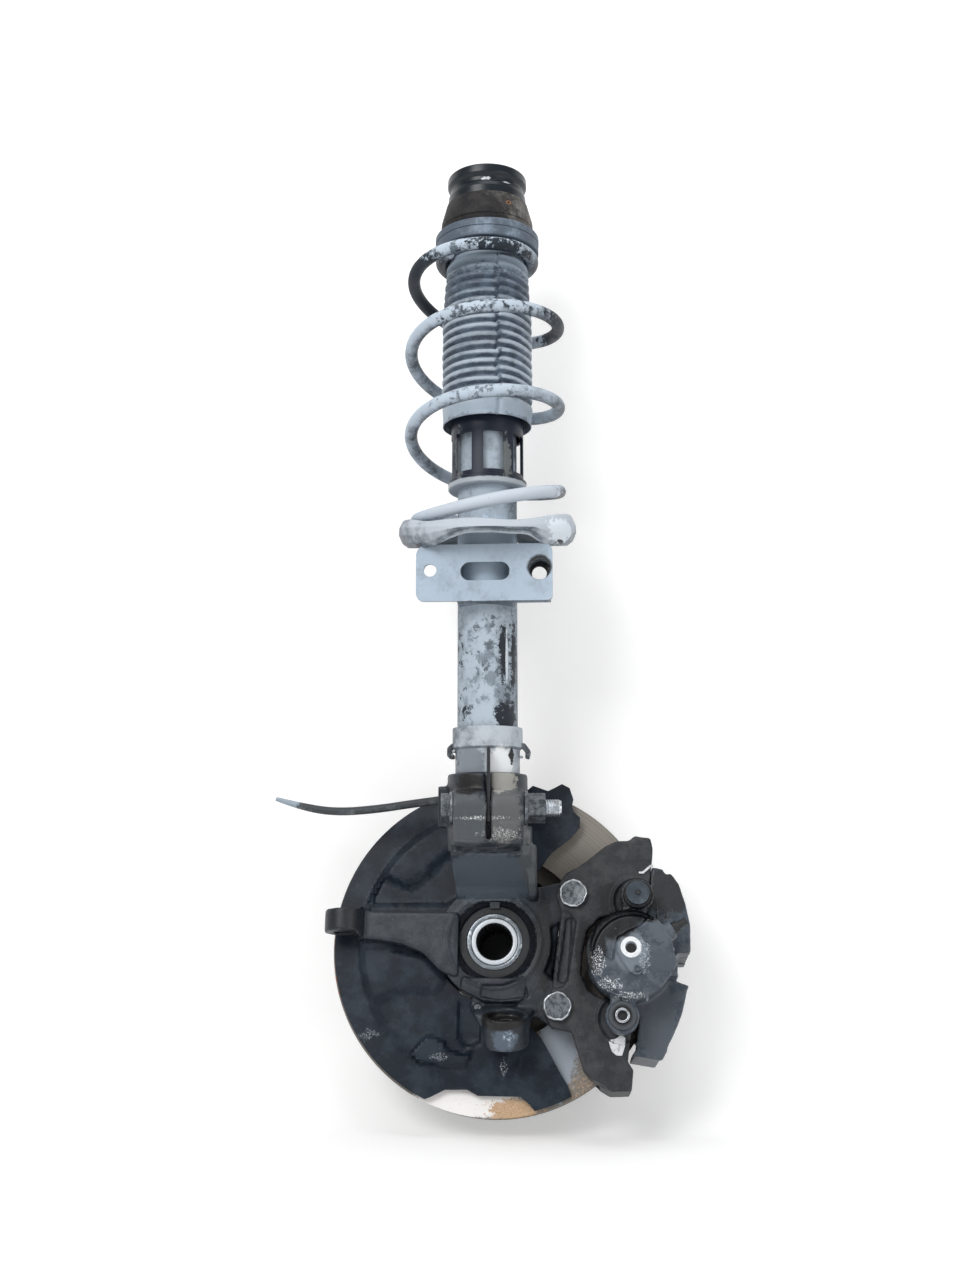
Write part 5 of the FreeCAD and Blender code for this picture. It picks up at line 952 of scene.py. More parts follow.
# On the zinc pieces, the near-white worn edges are painted glints.
zinc_bolt = surface("bolt_zinc", (0.16, 0.18, 0.2), blotch=((0.06, 0.068, 0.078), 3.5, 0.42, 0.58),
    film=((0.42, 0.44, 0.46), 0.02, ROAD_WIND), edges=(SCRATCH_AND_GLINT_WHITE, 0.53, 0.62), metal=0.6, rough=0.35,
    grain=0.3)
race_steel = surface("bearing_race_steel", (0.2, 0.225, 0.25), blotch=((0.52, 0.57, 0.61), 7, 0.5, 0.64),
    metal=0.9, rough=0.3)
bright_steel = surface("bright_steel", (0.62, 0.66, 0.7), blotch=((0.38, 0.4, 0.43), 5, 0.42, 0.62),
    metal=0.9, rough=0.28)
bearing_dark = surface("bearing_dark_steel", (0.001, 0.002, 0.005), blotch=((0.004, 0.007, 0.013), 8, 0.45,
    0.6), rough=0.45, grain=0.15, shine=0.1)
dark_seal = surface("dark_seal_rubber", (0.009, 0.011, 0.014), blotch=((0.018, 0.019, 0.02), 2.5, 0.5, 0.6),
    rough=0.55, grain=0.2)
hub_dark = surface("hub_steel", (0.014, 0.017, 0.02), blotch=((0.05, 0.052, 0.055), 5, 0.45, 0.62), metal=0.4,
    patches=[((0.6, 0.64, 0.68), tuple(HUB_POINT), (60, 7, 60), 0.05)], rough=0.35, grain=0.2)

# %% [markdown]
# The disc's bare iron was turned on a lathe, so fine rings run round it. The rings are a noise
# of the distance from the hub's axis alone: the object's coordinates, less the hub's point,
# measured along the two directions of the disc's plane. Brown rust has begun over them.

# %% Finish of the brake disc
RINGS_PER_METRE = 1500
disc_rust, tree, shader = new_material("disc_turned_iron")
spot = new_node(tree, "TexCoord")
from_hub = vector_sums(tree, "SUBTRACT", spot.outputs["Object"], tuple(float(v) for v in HUB_POINT * MM))
across = vector_sums(tree, "DOT_PRODUCT", from_hub, (1.0, 0.0, 0.0))
upward = vector_sums(tree, "DOT_PRODUCT", from_hub, tuple(float(v) for v in HUB[:3, 1]))
squares = sums(tree, "ADD", sums(tree, "MULTIPLY", across, across), sums(tree, "MULTIPLY", upward, upward))
disc_radius = sums(tree, "POWER", squares, 0.5)
rings = tree.nodes.new("ShaderNodeTexNoise")
rings.noise_dimensions = "1D"
fill(tree, rings.inputs, W=disc_radius, Scale=RINGS_PER_METRE, Detail=5)
ring_mask = smooth_step(tree, rings.outputs["Fac"], 0.35, 0.65)
disc_colour = blend(tree, ring_mask, (0.19, 0.175, 0.155), (0.31, 0.28, 0.245))
# Painted sheen: the near-white patch low on the disc's face. The brown marks are rust.
marks = [((0.97, 0.95, 0.93), (-16, 20, -800), (46, 22, 13), 0.25), ((0.6, 0.39, 0.23), (21, 20, -807),
    (21, 22, 13), 0.9, 1.6), ((0.62, 0.44, 0.28), (21, 20, -807), (18, 22, 10), 0.5), ((0.45, 0.25, 0.12),
    (21, 20, -807), (21, 22, 13), 0.9, 0.9), ((0.42, 0.47, 0.54), (56, 20, -756), (17, 26, 42), 0.3),
    ((0.62, 0.4, 0.24), (74, 20, -790), (14, 22, 10), 0.9, 1.6), ((0.35, 0.13, 0.06), (-136, 20, -700),
    (12, 26, 26), 1.4)]
disc_colour = marked(tree, disc_colour, marks)
speck_mask = smooth_step(tree, noise(tree, 1.6, 6, 0.8), 0.62, 0.68)
disc_colour = blend(tree, speck_mask, disc_colour, (0.1, 0.07, 0.05))
fill(tree, shader, Base_Color=disc_colour, Roughness=0.6)
add_bump(tree, shader, rings.outputs["Fac"], 0.25, 0.1)
print("disc material with", len(tree.nodes), "nodes")

# %% [markdown]
# The shield is thin black-painted steel with white scratches. The carrier and caliper are
# rougher than the knuckle, and the pads have begun to rust.

# %% Finishes of the shield, carrier and caliper
SHIELD_SCRATCH = (0.3, 0.33, 0.36)
CARRIER_SHADE = (0.007, 0.008, 0.01)
# The pale line on the bead below the hub, at x 12, is a painted highlight; the other pale marks are
# scratches.
shield_paint = surface("shield_black_paint", (0.01, 0.015, 0.024), blotch=((0.024, 0.034, 0.048), 26, 0.42,
    0.62), film=((0.07, 0.08, 0.085), 0.0, (-0.5, -0.6, 0.5)),
    late_patches=[(SHIELD_SCRATCH, (-102, 16, -748), (8, 22, 4), 0.9, 0.8), (SHIELD_SCRATCH, (-42, 16, -764),
    (6, 22, 3), 0.9, 0.8), ((0.4, 0.43, 0.46), (12, 16, -772), (2.5, 22, 7), 0.9, 1.2)], chips=(0.13, 0.15,
    0.17), rough=0.4, grain=0.2, shine=0.2)
# The two near-black CARRIER_SHADE patches are painted shade on the carrier.
carrier_iron = surface("carrier_cast_iron", (0.014, 0.017, 0.022), blotch=((0.036, 0.038, 0.042), 14, 0.4,
    0.62), film=((0.08, 0.08, 0.078), 0.0, ROAD_WIND), chips=(0.22, 0.22, 0.21),
    late_patches=[(CARRIER_SHADE, at(CALIPER, 97, 44, 14), (17, 30, 17), 0.3),
    (CARRIER_SHADE, at(CALIPER, 78, -4, 14), (9, 30, 32), 0.3)], edges=((0.13, 0.13, 0.128), 0.54, 0.64),
    rough=0.5, grain=0.5, distance=0.5, shine=0.4)
# Painted light and shade on the caliper: its lighter patches, on the end face, to its right and at the lower
# right, are painted light; its near-black and dark patches, at the face's upper left, its left side, above
# it, round the upper pin and on the upper lobe, are painted shade. The near-white late patches along the
# face's lower edge and on the drop-shaped pad are painted glints, and the black spot in the hose port is
# painted shade inside it.
CALIPER_PAINTED_SHADE = (0.002, 0.003, 0.005)
PAINTED_EDGE_GLINT = (0.75, 0.79, 0.82)
caliper_iron = surface("caliper_cast_iron", (0.045, 0.06, 0.08), blotch=((0.085, 0.1, 0.12), 7, 0.42, 0.6),
    patches=[((0.16, 0.19, 0.225), at(CALIPER, 113, 2, 48), (13, 20, 17), 0.1), ((0.065, 0.08, 0.1),
    at(CALIPER, 138, -2, 46), (12, 20, 9), 0.2), ((0.09, 0.108, 0.13), at(CALIPER, 136, 26, 36), (14, 30, 13),
    0.9), ((0.022, 0.025, 0.029), at(CALIPER, 138, 62, 10), (22, 40, 20), 0.4), ((0.08, 0.095, 0.115),
    at(CALIPER, 142, -46, 10), (16, 40, 36), 0.4), (CALIPER_PAINTED_SHADE, at(CALIPER, 98, 27, 44), (19, 22, 19),
    0.15), (CALIPER_PAINTED_SHADE, at(CALIPER, 82, 2, 36), (13, 22, 22), 0.15), (CALIPER_PAINTED_SHADE, at(CALIPER, 120, 36,
    38), (16, 22, 9), 0.2), (CALIPER_PAINTED_SHADE, at(CALIPER, 113, 48.3, 30), (17, 22, 17), 0.1)],
    film=((0.16, 0.19, 0.23), -0.02, (0.7, -0.5, 0.3)), chips=(0.36, 0.4, 0.44),
    late_patches=[(PAINTED_EDGE_GLINT, at(CALIPER, 89, -10, 44), (5, 20, 11), 0.6, 1.1),
    (PAINTED_EDGE_GLINT, at(CALIPER, 99, -26, 44), (10, 20, 5), 0.6, 1.1), (PAINTED_EDGE_GLINT, at(CALIPER, 118, -33,
    44), (12, 20, 4), 0.6, 1.1), ((0.4, 0.45, 0.5), at(CALIPER, 124, 2, 48), (5, 20, 15), 0.6, 1.4),
    ((0.004, 0.004, 0.005), at(CALIPER, 113, 4.4, 44), (4.7, 20, 4.7), 0.02)], edges=((0.3, 0.35, 0.4), 0.53,
    0.62), rough=0.4, grain=0.6, distance=0.5, shine=0.4)
port_white = surface("hose_port_seat", (0.84, 0.86, 0.88), blotch=((0.6, 0.63, 0.66), 3, 0.5, 0.65),
    rough=0.35)
spring_clip = surface("spring_clip_steel", (0.8, 0.82, 0.84), blotch=((0.5, 0.51, 0.52), 4, 0.5, 0.66),
    metal=0.1, rough=0.3)
# On the bushes, the near-black patch at the upper pin and the one inside the lower pin's opening are painted
# shade.
bush_grey = surface("guide_bush_rubber", (0.05, 0.06, 0.072),
    patches=[(CALIPER_PAINTED_SHADE, at(CALIPER, 113, 48.3, 30), (18, 30, 18), 0.05)],
    late_patches=[((0.006, 0.006, 0.007), at(CALIPER, 113, -48.3, 44), (8.3, 20, 8.3), 0.03)], rough=0.6,
    grain=0.3)
cap_blue = surface("guide_cap_plastic", (0.032, 0.045, 0.06), film=((0.12, 0.15, 0.18), 0.05, ROAD_WIND),
    rough=0.3, grain=0.1)
# The pale patch at the lead's cut end is partly the pale cut end itself and partly a painted highlight.
lead_black = surface("lead_black_rubber", (0.03, 0.037, 0.043), film=((0.24, 0.27, 0.29), 0.16,
    (-0.3, -0.7, -0.5)), late_patches=[((0.3, 0.36, 0.42), (-182, 30, -554), (18, 12, 10), 0.5)], rough=0.5,
    grain=0.3)
lining_rust = surface("lining_and_backing", (0.035, 0.035, 0.038), film=((0.1, 0.09, 0.08), 0.0, ROAD_WIND),
    chips=(0.3, 0.16, 0.09), rough=0.8, grain=0.4)
print(len(bpy.data.materials), "materials")

# %% [markdown]
# The top mount is black rubber round a steel sleeve. Two soft beads with a groove between
# them let it seat in the car body. It came out of a round mould, so one turned profile with
# generous roundings makes it.

# %% Rubber top mount
mount = turned("domed_mount_rubber", [(15.5, -24, 0.3), (15.5, -1.4, 0.8), (24, -0.6, 2), (31.5, 0, 2.5),
    (35.25, -1.6, 1.6), (35.25, -8.7, 2.2), (32.4, -11.6, 1.2), (32.0, -15.0, 1.2), (34.1, -17.6, 1.5),
    (34.65, -20.5, 1.2), (34.65, -27, 0.6), (27, -27, 0.3), (27, -24, 0.3)])
carry(mount, "top_mount", mount_black, "mount_rubber", "mount_rubber")

# %% [markdown]
# The steering bearing below it has a moulded shell. Its solid from the engineering model is
# right as it stands, so it only needs softened edges, and so do the nut and the pressed pan.

# %% Steering bearing, nut and upper seat
bevelled("steering_bearing_shell", 0.6, "top_mount", shell_dusty, "bearing_plastic")
bevelled("steering_bearing_ring", 0.3, "spring_seat", shell_dusty, "bearing_plastic")
bevelled("rod_nut", 0.6, "top_mount", zinc_bolt, "nut_zinc")
bevelled("upper_spring_seat", 0.5, "spring_seat", pad_grey, "seat_black")
bevelled("spring_pad", 0.8, "spring_seat", pad_grey, "pad_rubber")

# %% [markdown]
# The spring is one steel wire. Its foot coil lies flat in the tilted lower seat, then it opens
# and climbs, bowing towards the wheel's far side so that it pushes the strut sideways against
# the car's weight, and its last turn is drawn in under the pad. Its centre line is a formula
# of the turn count: radius, level, lean and bow all change by smooth steps along the wire.

# %% Side-load spring
WIRE = 5.5
COIL_FLOOR = -313.355
COIL_ROOF = -78.8
PITCH = 74.0
LIFT = -0.25
ROOF_TURN = LIFT + 0.125 + (COIL_ROOF - COIL_FLOOR) / PITCH + 0.15
FOOT_RADIUS = 60.6
OPEN_WIDER = 3.7
DRAWN_IN = 24.1
UPPER_LEAN = 7
LEFT_HIGHER = 5
BOW = 6.98


def ramped(value, width):
    """A slope of one that begins as the parabola v^2 / 2w."""
    return np.where(value < width, np.maximum(value, 0) ** 2 / (2 * width), value - width / 2)


def coil_line(turn):
    """The wire's centre for each turn count: a helix whose radius, rise and lean are eased."""
    angle = 2 * math.pi * turn
    opened = eased(turn, LIFT, 0.25)
    drawn = eased(turn, ROOF_TURN - 0.495, ROOF_TURN)
    flat = 1 - eased(turn, ROOF_TURN - 0.595, ROOF_TURN - 0.095)
    radius = FOOT_RADIUS + OPEN_WIDER * opened - DRAWN_IN * drawn
    level = np.where(turn < 1.5, COIL_FLOOR + PITCH * ramped(turn - LIFT, 0.25),
        COIL_ROOF - PITCH * ramped(ROOF_TURN - turn, 0.3))
    foot_lean = -FOOT_RADIUS * math.sin(SEAT_TILT)
    lean = (foot_lean + (UPPER_LEAN - foot_lean) * eased(turn, LIFT, 0.75)) * flat
    level = level + lean * np.cos(angle) - LEFT_HIGHER * eased(turn, LIFT, 0.2) * flat * np.sin(angle)
    height = np.clip((turn - LIFT) / (ROOF_TURN - LIFT), 0, 1)
    depth = radius * (1 - (1 - math.cos(SEAT_TILT)) * (1 - opened))
    across = radius * np.sin(angle) - 1.7 * opened * (1 - drawn)
    return np.stack([across, -depth * np.cos(angle) - BOW * np.sin(math.pi * height) ** 2, level], -1)


turn_count = np.linspace(-0.5, ROOF_TURN + 0.66, 460)
spring = show(swept_mesh("side_load_spring", coil_line(turn_count), WIRE, around=24), "side_load_spring")
carry(spring, "spring_seat", spring_paint, "spring_black", "coil_spring")
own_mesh(spring)
print("spring of", round(float(turn_count[-1] - turn_count[0]), 2), "turns")

# %% [markdown]
# The dust bellows is blown rubber: sixteen ribs that grow over the first six, then a smooth
# collar that grips the cage. Its outer line goes down over crests and roots, its inner line
# comes back one wall thickness further in, and the closed loop is turned round the axis.

# %% Dust bellows
RIB_START = -86.8
RIB_PITCH = 7.97
RIB_DEPTH = 3.6
BELLOWS_WALL = 1.1
SEAM_ANGLE = 288


def bellows_line():
    """Corners (radius, level, rounding) of the skin, outside down and inside back up."""
    outer = [(33.2, -59.7, 0.2), (33.2, -82.8, 1.5)]
    for rib in range(16):
        crest = 36 + 3.5 * min(rib / 6, 1)
        level = RIB_START - RIB_PITCH * rib
        outer += [(crest, level + 0.3, 1.0), (crest, level - 0.3 * RIB_PITCH, 1.0), (crest - RIB_DEPTH,
            level - 0.6 * RIB_PITCH, 0.8), (crest - RIB_DEPTH, level - 0.76 * RIB_PITCH, 0.8)]
    outer += [(39.5, -215.8, 1), (38.4, -227.3, 1), (38.9, -231.3, 0.4)]
    inner = [(radius - BELLOWS_WALL, level, bend) for radius, level, bend in outer[::-1]]
    return outer + inner


def seamed(radius, angle, height):
    """Mould seam: r less 1.6 near one angle, where the ribs on the right stand 2.2 higher."""
    rib = np.floor((RIB_START - height) / RIB_PITCH)
    seam = math.radians(SEAM_ANGLE) + 0.05 * np.sin(2.4 * rib)
    dip = 1.6 * (1 - eased(np.abs(angle - seam), 0.015, 0.06)) * (height < RIB_START)
    uneven = 0.25 * np.sin(3 * angle + 1.7 * rib)
    past = angle - seam
    lifted = 2.2 * eased(past, -0.02, 0.02) * (1 - eased(past, 0.2,
        1.0)) * (height < RIB_START) * (height > -212)
    return radius - dip * (radius > 34.6) + uneven * (radius > 36), angle, height + lifted


bellows = turned("ribbed_dust_bellows", bellows_line(), steps=168, arc=2, bend=seamed)
carry(bellows, "spring_seat", bellows_rubber, "bellows_rubber", "dust_bellows")
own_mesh(bellows)

# %% [markdown]
# The cage that holds the bellows' foot is glossy moulded plastic. The lower seat is a pressing:
# one wall folded from the skirt over a soft rim into the channel that the coil lies in. Bays
# are cut in its skirt, and its rim rises and falls as the press left it.

# %% Cage, tube and lower seat
SKIRT_FOOT = [(-180, -7), (-168, -7), (-156, -19), (-40, -19), (-34, -17), (-30, -13), (-21, -8.5),
    (-12, -3.5), (12, -3.5), (19, -6.2), (30, -5.1), (40, -9.6), (43, -17), (48, -19), (156, -19), (168, -7),
    (180, -7)]
RIM_TOP = [(-180, 6), (-60, 6), (-40, 3), (-25, 5), (-5, 6), (10, 4), (20, 3), (35, 4), (50, 7), (75, 9),
    (110, 6), (180, 6)]
SEAT_LINE = [(68, -20.5, 1.2), (73.5, -16, 5), (76.5, -8, 5), (76, -1, 4), (72.5, 4.5, 3), (69, 5, 2),
    (66, 2, 3), (63, 0, 1), (55.6, 0, 1), (50.6, 1.5, 1), (29.5, 3.5, 1), (25.6, 3.5, 0), (25.6, 1, 0),
    (29.5, 1, 1), (50.6, -1, 1), (55.6, -2.5, 1), (63, -2.5, 1), (66.5, -0.8, 1), (69.5, 2.2, 0.6),
    (71.4, 1.8, 1), (73.2, -1.5, 2), (73.9, -8, 3), (71.2, -14.6, 3), (66.4, -18.6, 0.8)]


def pressed(radius, angle, height):
    """Heights under -1 are stretched to the skirt's foot and those over it to the rim's top."""
    from_front = (np.degrees(angle) + 270) % 360 - 180
    foot = sum(np.interp(from_front + shift, *zip(*SKIRT_FOOT)) for shift in (-6, -3, 0, 3, 6)) / 5
    top = sum(np.interp(from_front + shift, *zip(*RIM_TOP)) for shift in (-8, -4, 0, 4, 8)) / 5
    stretched = -1 + (height + 1) * np.where(height < -1, -(foot + 1) / 19.5, (top + 1) / 6)
    hug = 25.6 / np.hypot(np.cos(angle), np.sin(angle) * math.cos(SEAT_TILT))
    return np.where(radius < 27, hug, radius), angle, height + eased(radius, 64, 68) * (stretched - height)


bevelled("bellows_cage", 0.5, "strut", cage_gloss, "cage_plastic")
bevelled("strut_tube", 0.6, "strut", tube_paint, "tube_black")
seat = turned("pressed_lower_seat", SEAT_LINE, where=SEAT, steps=288, bend=pressed)
carry(seat, "strut", seat_paint, "seat_black", "lower_spring_seat")

# %% [markdown]
# The bracket is welded to the tube. The zinc collar is a band with two strips bent outwards
# into hooks: the square hooks are cut off its copy, and curved ones take their place.

# %% Bracket and hooked collar
FRONT = placement((0, 0, 0), (1, 0, 0), (0, -1, 0))
LEFT_HOOK = [(-26, -507.4, 0), (-29.8, -507.4, 3), (-33.8, -511.4, 3), (-33.8, -518, 3), (-31.6, -520.6, 2),
    (-27.6, -520.6, 1), (-27.6, -517.2, 1), (-29.2, -516.6, 1), (-29.8, -515, 1), (-29.8, -513.4, 1),
    (-28, -511.6, 1.5), (-26, -511.6, 0)]
RIGHT_HOOK = [(26, -507.6, 0), (31.6, -507.6, 3), (36.6, -514.6, 3), (35.2, -521.2, 1), (31.6, -520.2, 1),
    (32, -515.8, 1.5), (29, -512, 2), (26, -512, 0)]
bevelled("link_bracket", 0.5, "strut", bracket_paint, "seat_black")
collar = sliced(node_copy("tube_collar"), (29.6, 0, 0), (1, 0, 0))
collar = show(sliced(collar, (-29.6, 0, 0), (-1, 0, 0)), "tube_collar_finished")
bevelled("tube_collar", 0.35, "strut", collar_zinc, "collar_steel", piece=collar)
for name, outline in (("left_cable_hook", LEFT_HOOK), ("right_cable_hook", RIGHT_HOOK)):
    carry(plate(name, outline, -3, 6, where=FRONT, edge=0.9), "strut", zinc_bolt, "collar_steel")
bevelled("locating_fin", 0.5, "strut", fin_dark, "collar_steel")

# %% [markdown]
# The knuckle is one iron casting: a split clamp for the tube, a neck, the round boss for the
# wheel bearing, the steering arm, the ball joint's boss and the caliper's ears. Its corners
# are cast, and only the bores and the boss's face are machined.

# %% Steering knuckle
ARM_BORE = placement(place(np.array([[-127.0, 0, 6]]), HUB)[0], HUB[:3, 0], HUB[:3, 1])
web = plate_mesh("ear_web", [(30, -40, 3), (52, -34, 4), (52, 34, 4), (30, 40, 3)], -11, -3, where=CALIPER)
knuckle = cast("cast_knuckle", [node_copy("steering_knuckle"), web], soften=12,
    rounds=[(HUB, 34.0, -41.5, 1, 1.3), (DAMPER, 25.5, -599, -533, 1.3), (ARM_BORE, 7.3, 0, 29, 1.3)],
    flats=[(HUB, 0.0, 48, 1.2)])

# %% [markdown]
# The mould left its forms on the front: a raised rim round the bearing, a pocket under it, and a
# lip and a groove where the neck meets the clamp. A dark web joins the caliper's two ears. The
# end of the steering arm is thinner than its solid, so its points are drawn to the middle.

# %% The knuckle's beads and pockets
ARM_MIDDLE = 14.5
END_THINNER = 0.3


def boss_forms(x, y):
    """Rim round the bearing, pocket below it and a ridge along the arm's top, from the hub."""
    pocket = [(-10.4, -35.6), (-11.7, -46.5), (5.7, -49.5), (29.5, -46), (25.5, -29), (8, -35.5)]
    height = ring_bead(x, y, 39.2, 2.4, 0.9) + panel(x, y, pocket, -2.6, 1.4)
    return height + bead(x, y, [(-136, 25), (-120, 27), (-86, 25.2), (-46, 25.2)], 2.0, 0.7)


def neck_forms(x, y):
    """Lip and groove across the neck and the half-round pad under the nut, seen from the front."""
    height = bead(x, y, [(-23.8, -589.5), (2, -591.2), (27.9, -592.5)], 3.4, 1.8)
    height += bead(x, y, [(-22.5, -595.3), (3.3, -597.2), (27.9, -594.8)], 2.8, -1.8)
    pad = [(13, -573.5), (28, -573.5), (33, -578), (33, -584), (28, -588.5), (13, -587)]
    return height + panel(x, y, pad, 1.3, 1.8)


relief(knuckle, HUB, -12, 20, boss_forms)
local = drawn_in(read_points(knuckle.data), HUB)
local[:, 1] += END_THINNER * eased(-local[:, 0], 111, 116) * (ARM_MIDDLE - local[:, 1])
write_points(knuckle.data, place(local, HUB))
relief(knuckle, FRONT, 20, 60, neck_forms)
carry(knuckle, "strut", iron_cast, "knuckle_iron", "steering_knuckle")

# %% [markdown]
# The pinch bolt closes the clamp. Its thread shows at the right: the radius falls and rises
# once per pitch, and the crest winds because the height in the sine also counts the angle.
# The plain shank is cut off behind the nut, and the threaded tip takes its place.

# %% Pinch bolt and nut
THREAD_PITCH = 2.0
THREAD_START, THREAD_END = 42.0, 57.6
PINCH = CLAMP @ placement((0, -37.5, -562.8), (0, 0, 1), (1, 0, 0))


def wound(radius, angle, height):
    """r - 0.45 (1 - cos(2 pi z / pitch - a)): a ridge that climbs one pitch a turn."""
    phase = 2 * math.pi * height / THREAD_PITCH - angle
    return radius - 0.45 * (1 - np.cos(phase)) * (radius > 6.5), angle, height


shank = sliced(node_copy("pinch_bolt"), at(PINCH, 0, 0, THREAD_START), PINCH[:3, 2])
bevelled("pinch_bolt", 0.5, "strut", zinc_bolt, "bolt_steel", piece=show(shank, "pinch_bolt_finished"))
flanks = [(7.0, float(level), 0) for level in np.arange(THREAD_START, THREAD_END, 0.25)]
thread = turned("pinch_bolt_thread", [(0, THREAD_START - 1, 0), (6.4, THREAD_START - 1, 0), *flanks,
    (5.6, 58.7, 0.4), (0, 58.7, 0)], where=PINCH, steps=48, bend=wound, closed=False)
carry(thread, "strut", bright_steel, "bolt_steel")
bevelled("pinch_nut", 0.5, "strut", zinc_bolt, "bolt_steel")

# %% [markdown]
# The wheel bearing sits in the boss behind a spring clip. Its outer ring, seals and clip are
# blue-black. The inner ring and the hub's rolled end beside it are bright. The hub's splined
# bore is painted near-black as shade in its depth, with a press-in plug at its bottom.

# %% Wheel bearing and hub
bevelled("bearing_outer_ring", 0.4, "strut", bearing_dark, "bearing_steel")
bevelled("bearing_inner_ring", 1.0, "hub", race_steel, "bearing_steel", segments=3)
bevelled("bearing_seals", 0.2, "strut", dark_seal, "seal_rubber")
bevelled("bearing_clip", 0.3, "strut", bearing_dark, "bearing_steel")
bevelled("wheel_hub", 0.8, "hub", hub_dark, "hub_steel", segments=3)
clip_lug = plate("bearing_clip_lug", [(-4.2, 27.4, 1), (4.2, 27.4, 1), (4.2, 33.2, 1), (-4.2, 33.2, 1)], -3.0,
    -0.8, where=HUB, edge=0.4)
carry(clip_lug, "strut", pan_black, "bearing_steel")
SPLINES = 27


def toothed(radius, angle, height):
    """Teeth in a bore: the radius shrinks by up to 0.9 where cos(n a) is over a threshold."""
    tooth = eased(np.cos(SPLINES * angle), -0.25, 0.25)
    return radius - 0.9 * tooth * (radius < 15.6), angle, height


splines = turned("drive_shaft_splines", [(15.46, -4, 0), (15.46, -52, 0), (16.2, -52, 0), (16.2, -4, 0)],
    where=HUB, steps=SPLINES * 12, bend=toothed)
# The splines take the near-black seal colour, which is painted shade in the deep bore.
carry(splines, "hub", dark_seal, "hub_steel")

# %% [markdown]
# The disc is ventilated: two rings joined by vanes, on a hat that bolts to the hub. It comes
# from the engineering model with its edges broken.

# %% Brake disc
bevelled("brake_disc", 0.5, "hub", disc_rust, "disc_iron")
bevelled("disc_screw", 0.2, "hub", zinc_bolt, "bolt_steel")

# %% [markdown]
# The shield is a thin pressing. A press moves both of its skins together, so a copy of the
# flat sheet is cut along a net, and each point is moved by the height of the form under it:
# a step shaped like a V, a flat plateau with a bead, a sunk corner and a raised box.

# %% Splash shield
NET_STEP = 2.6
V_STEP = [(-150, 62), (-102, 63.6), (-77, 51), (-62, 62), (-50, 75), (-38, 84), (-27, 84), (-24, 60),
    (-27, 38), (-40, 30), (-150, 30)]
PLATEAU = [(-128, -50), (-108, -54), (-101, -52), (-82, -43), (-67, -41.6), (-46, -42), (-40, -30),
    (-60, -10), (-84, -6), (-85, 6), (-127, 6)]
BEAD = [(-121, 4), (-93, 3), (-93, -4.6), (-121, -4.6)]
CORNER = [(-32, -45), (-20, -47), (-10, -55), (-10, -82), (-25, -86), (-31, -78)]
BOX = [(-75, -93.5), (-56.6, -75), (-48.9, -75.7), (-39.3, -81), (-37.9, -86), (-25.8, -89.4), (-18.8, -88),
    (-15.8, -83.3), (-18, -91.8), (-21.7, -101.4), (-41.9, -102.2), (-54.6, -98.8), (-67.2, -100.7)]


def shield_forms(x, y):
    """The pressing's heights towards the car, in the hub's frame."""
    height = panel(x, y, V_STEP, -4.5, 6) + bead(x, y, [(-104, 64), (-77, 51)], 3, 0.8)
    height += panel(x, y, PLATEAU, 2.2, 4) + panel(x, y, BEAD, 2.0, 2.5)
    height += panel(x, y, CORNER, -2.6, 3) + panel(x, y, BOX, 5.5, 3.0)
    height += ring_bead(x, y, 131.5, 6, 0.6) * (x < -20)
    height += bead(x, y, [(10, -92), (12, -116)], 2.5, 0.6) + bead(x, y, [(20, -91), (22, -116)], 2.5, 0.6)
    return height + 0.25 * np.sin(x / 11) * np.sin(y / 13)


shield = netted("splash_shield", "pressed_splash_shield", HUB, NET_STEP)
relief(shield, HUB, -14.5, -6, shield_forms, facing=-2)
bevelled("splash_shield", 0.3, "strut", shield_paint, "shield_black", piece=shield)
bevelled("shield_screws", 0.3, "strut", zinc_bolt, "bolt_steel")

# %% [markdown]
# The carrier is an iron casting bolted to the knuckle's ears. Its bar has a long pocket, and a
# round rim stands about each guide pin.

# %% Caliper carrier
PIN_SIDE = 48.3
carrier = cast("cast_carrier", [node_copy("caliper_carrier")], soften=4, lump=0.2)


def carrier_forms(x, y):
    """Pocket along the bar and rims about the pins, in the caliper's frame."""
    pocket = [(49, -32), (58, -33), (64, -30), (66.3, -19.5), (64.3, 8.4), (62, 31), (49, 33)]
    height = panel(x, y, pocket, -2.4, 1.5)
    for side in (-PIN_SIDE, PIN_SIDE):
        height = height + ring_bead(x, y, 19.5, 3.4, 1.5, centre=(113, side))
    return height


relief(carrier, CALIPER, 9, 16, carrier_forms)
carry(carrier, "strut", carrier_iron, "carrier_iron", "caliper_carrier")

# %% [markdown]
# The caliper floats on two guide pins. On the end of its cylinder stand a drop-shaped pad
# round the hose port, a rib that runs out over the bridge, and a thin parting ridge. They are
# joined to the copy before the rebuild, so that they grow out of it with cast corners.

# %% Caliper housing
CYLINDER = on_caliper(113, 0)
BORE_RADIUS = 27.6
BORE_END = 38.4
PORT = on_caliper(113, 4.4)
DROP = [(103.1, 11.6, 3), (109.9, 16.2, 3), (119, 16.7, 3), (125.8, 6.8, 2), (127.3, 1.3, 2), (125.3, -9, 2),
    (124.9, -13.1, 2), (122.1, -16.2, 2), (117.6, -16.5, 2), (113.7, -14.4, 2), (107.9, -8, 3),
    (103, -1.5, 3), (101, 6.4, 3)]
RIB = [(124, 7.2, 1), (147.9, 4.7, 3), (150.6, -1.2, 3), (148.1, -8.9, 3), (124, -11.9, 1)]
NOTCH = [(151, 11.5, 2), (180, 16, 0), (180, -15.5, 0), (152.3, -10.7, 2)]
ABOVE = [(139, 76.4, 0), (146.4, 68.4, 0), (153.7, 53, 0), (159.5, 35.6, 0), (162.2, 13, 0), (200, 13, 0),
    (200, 110, 0), (139, 110, 0)]
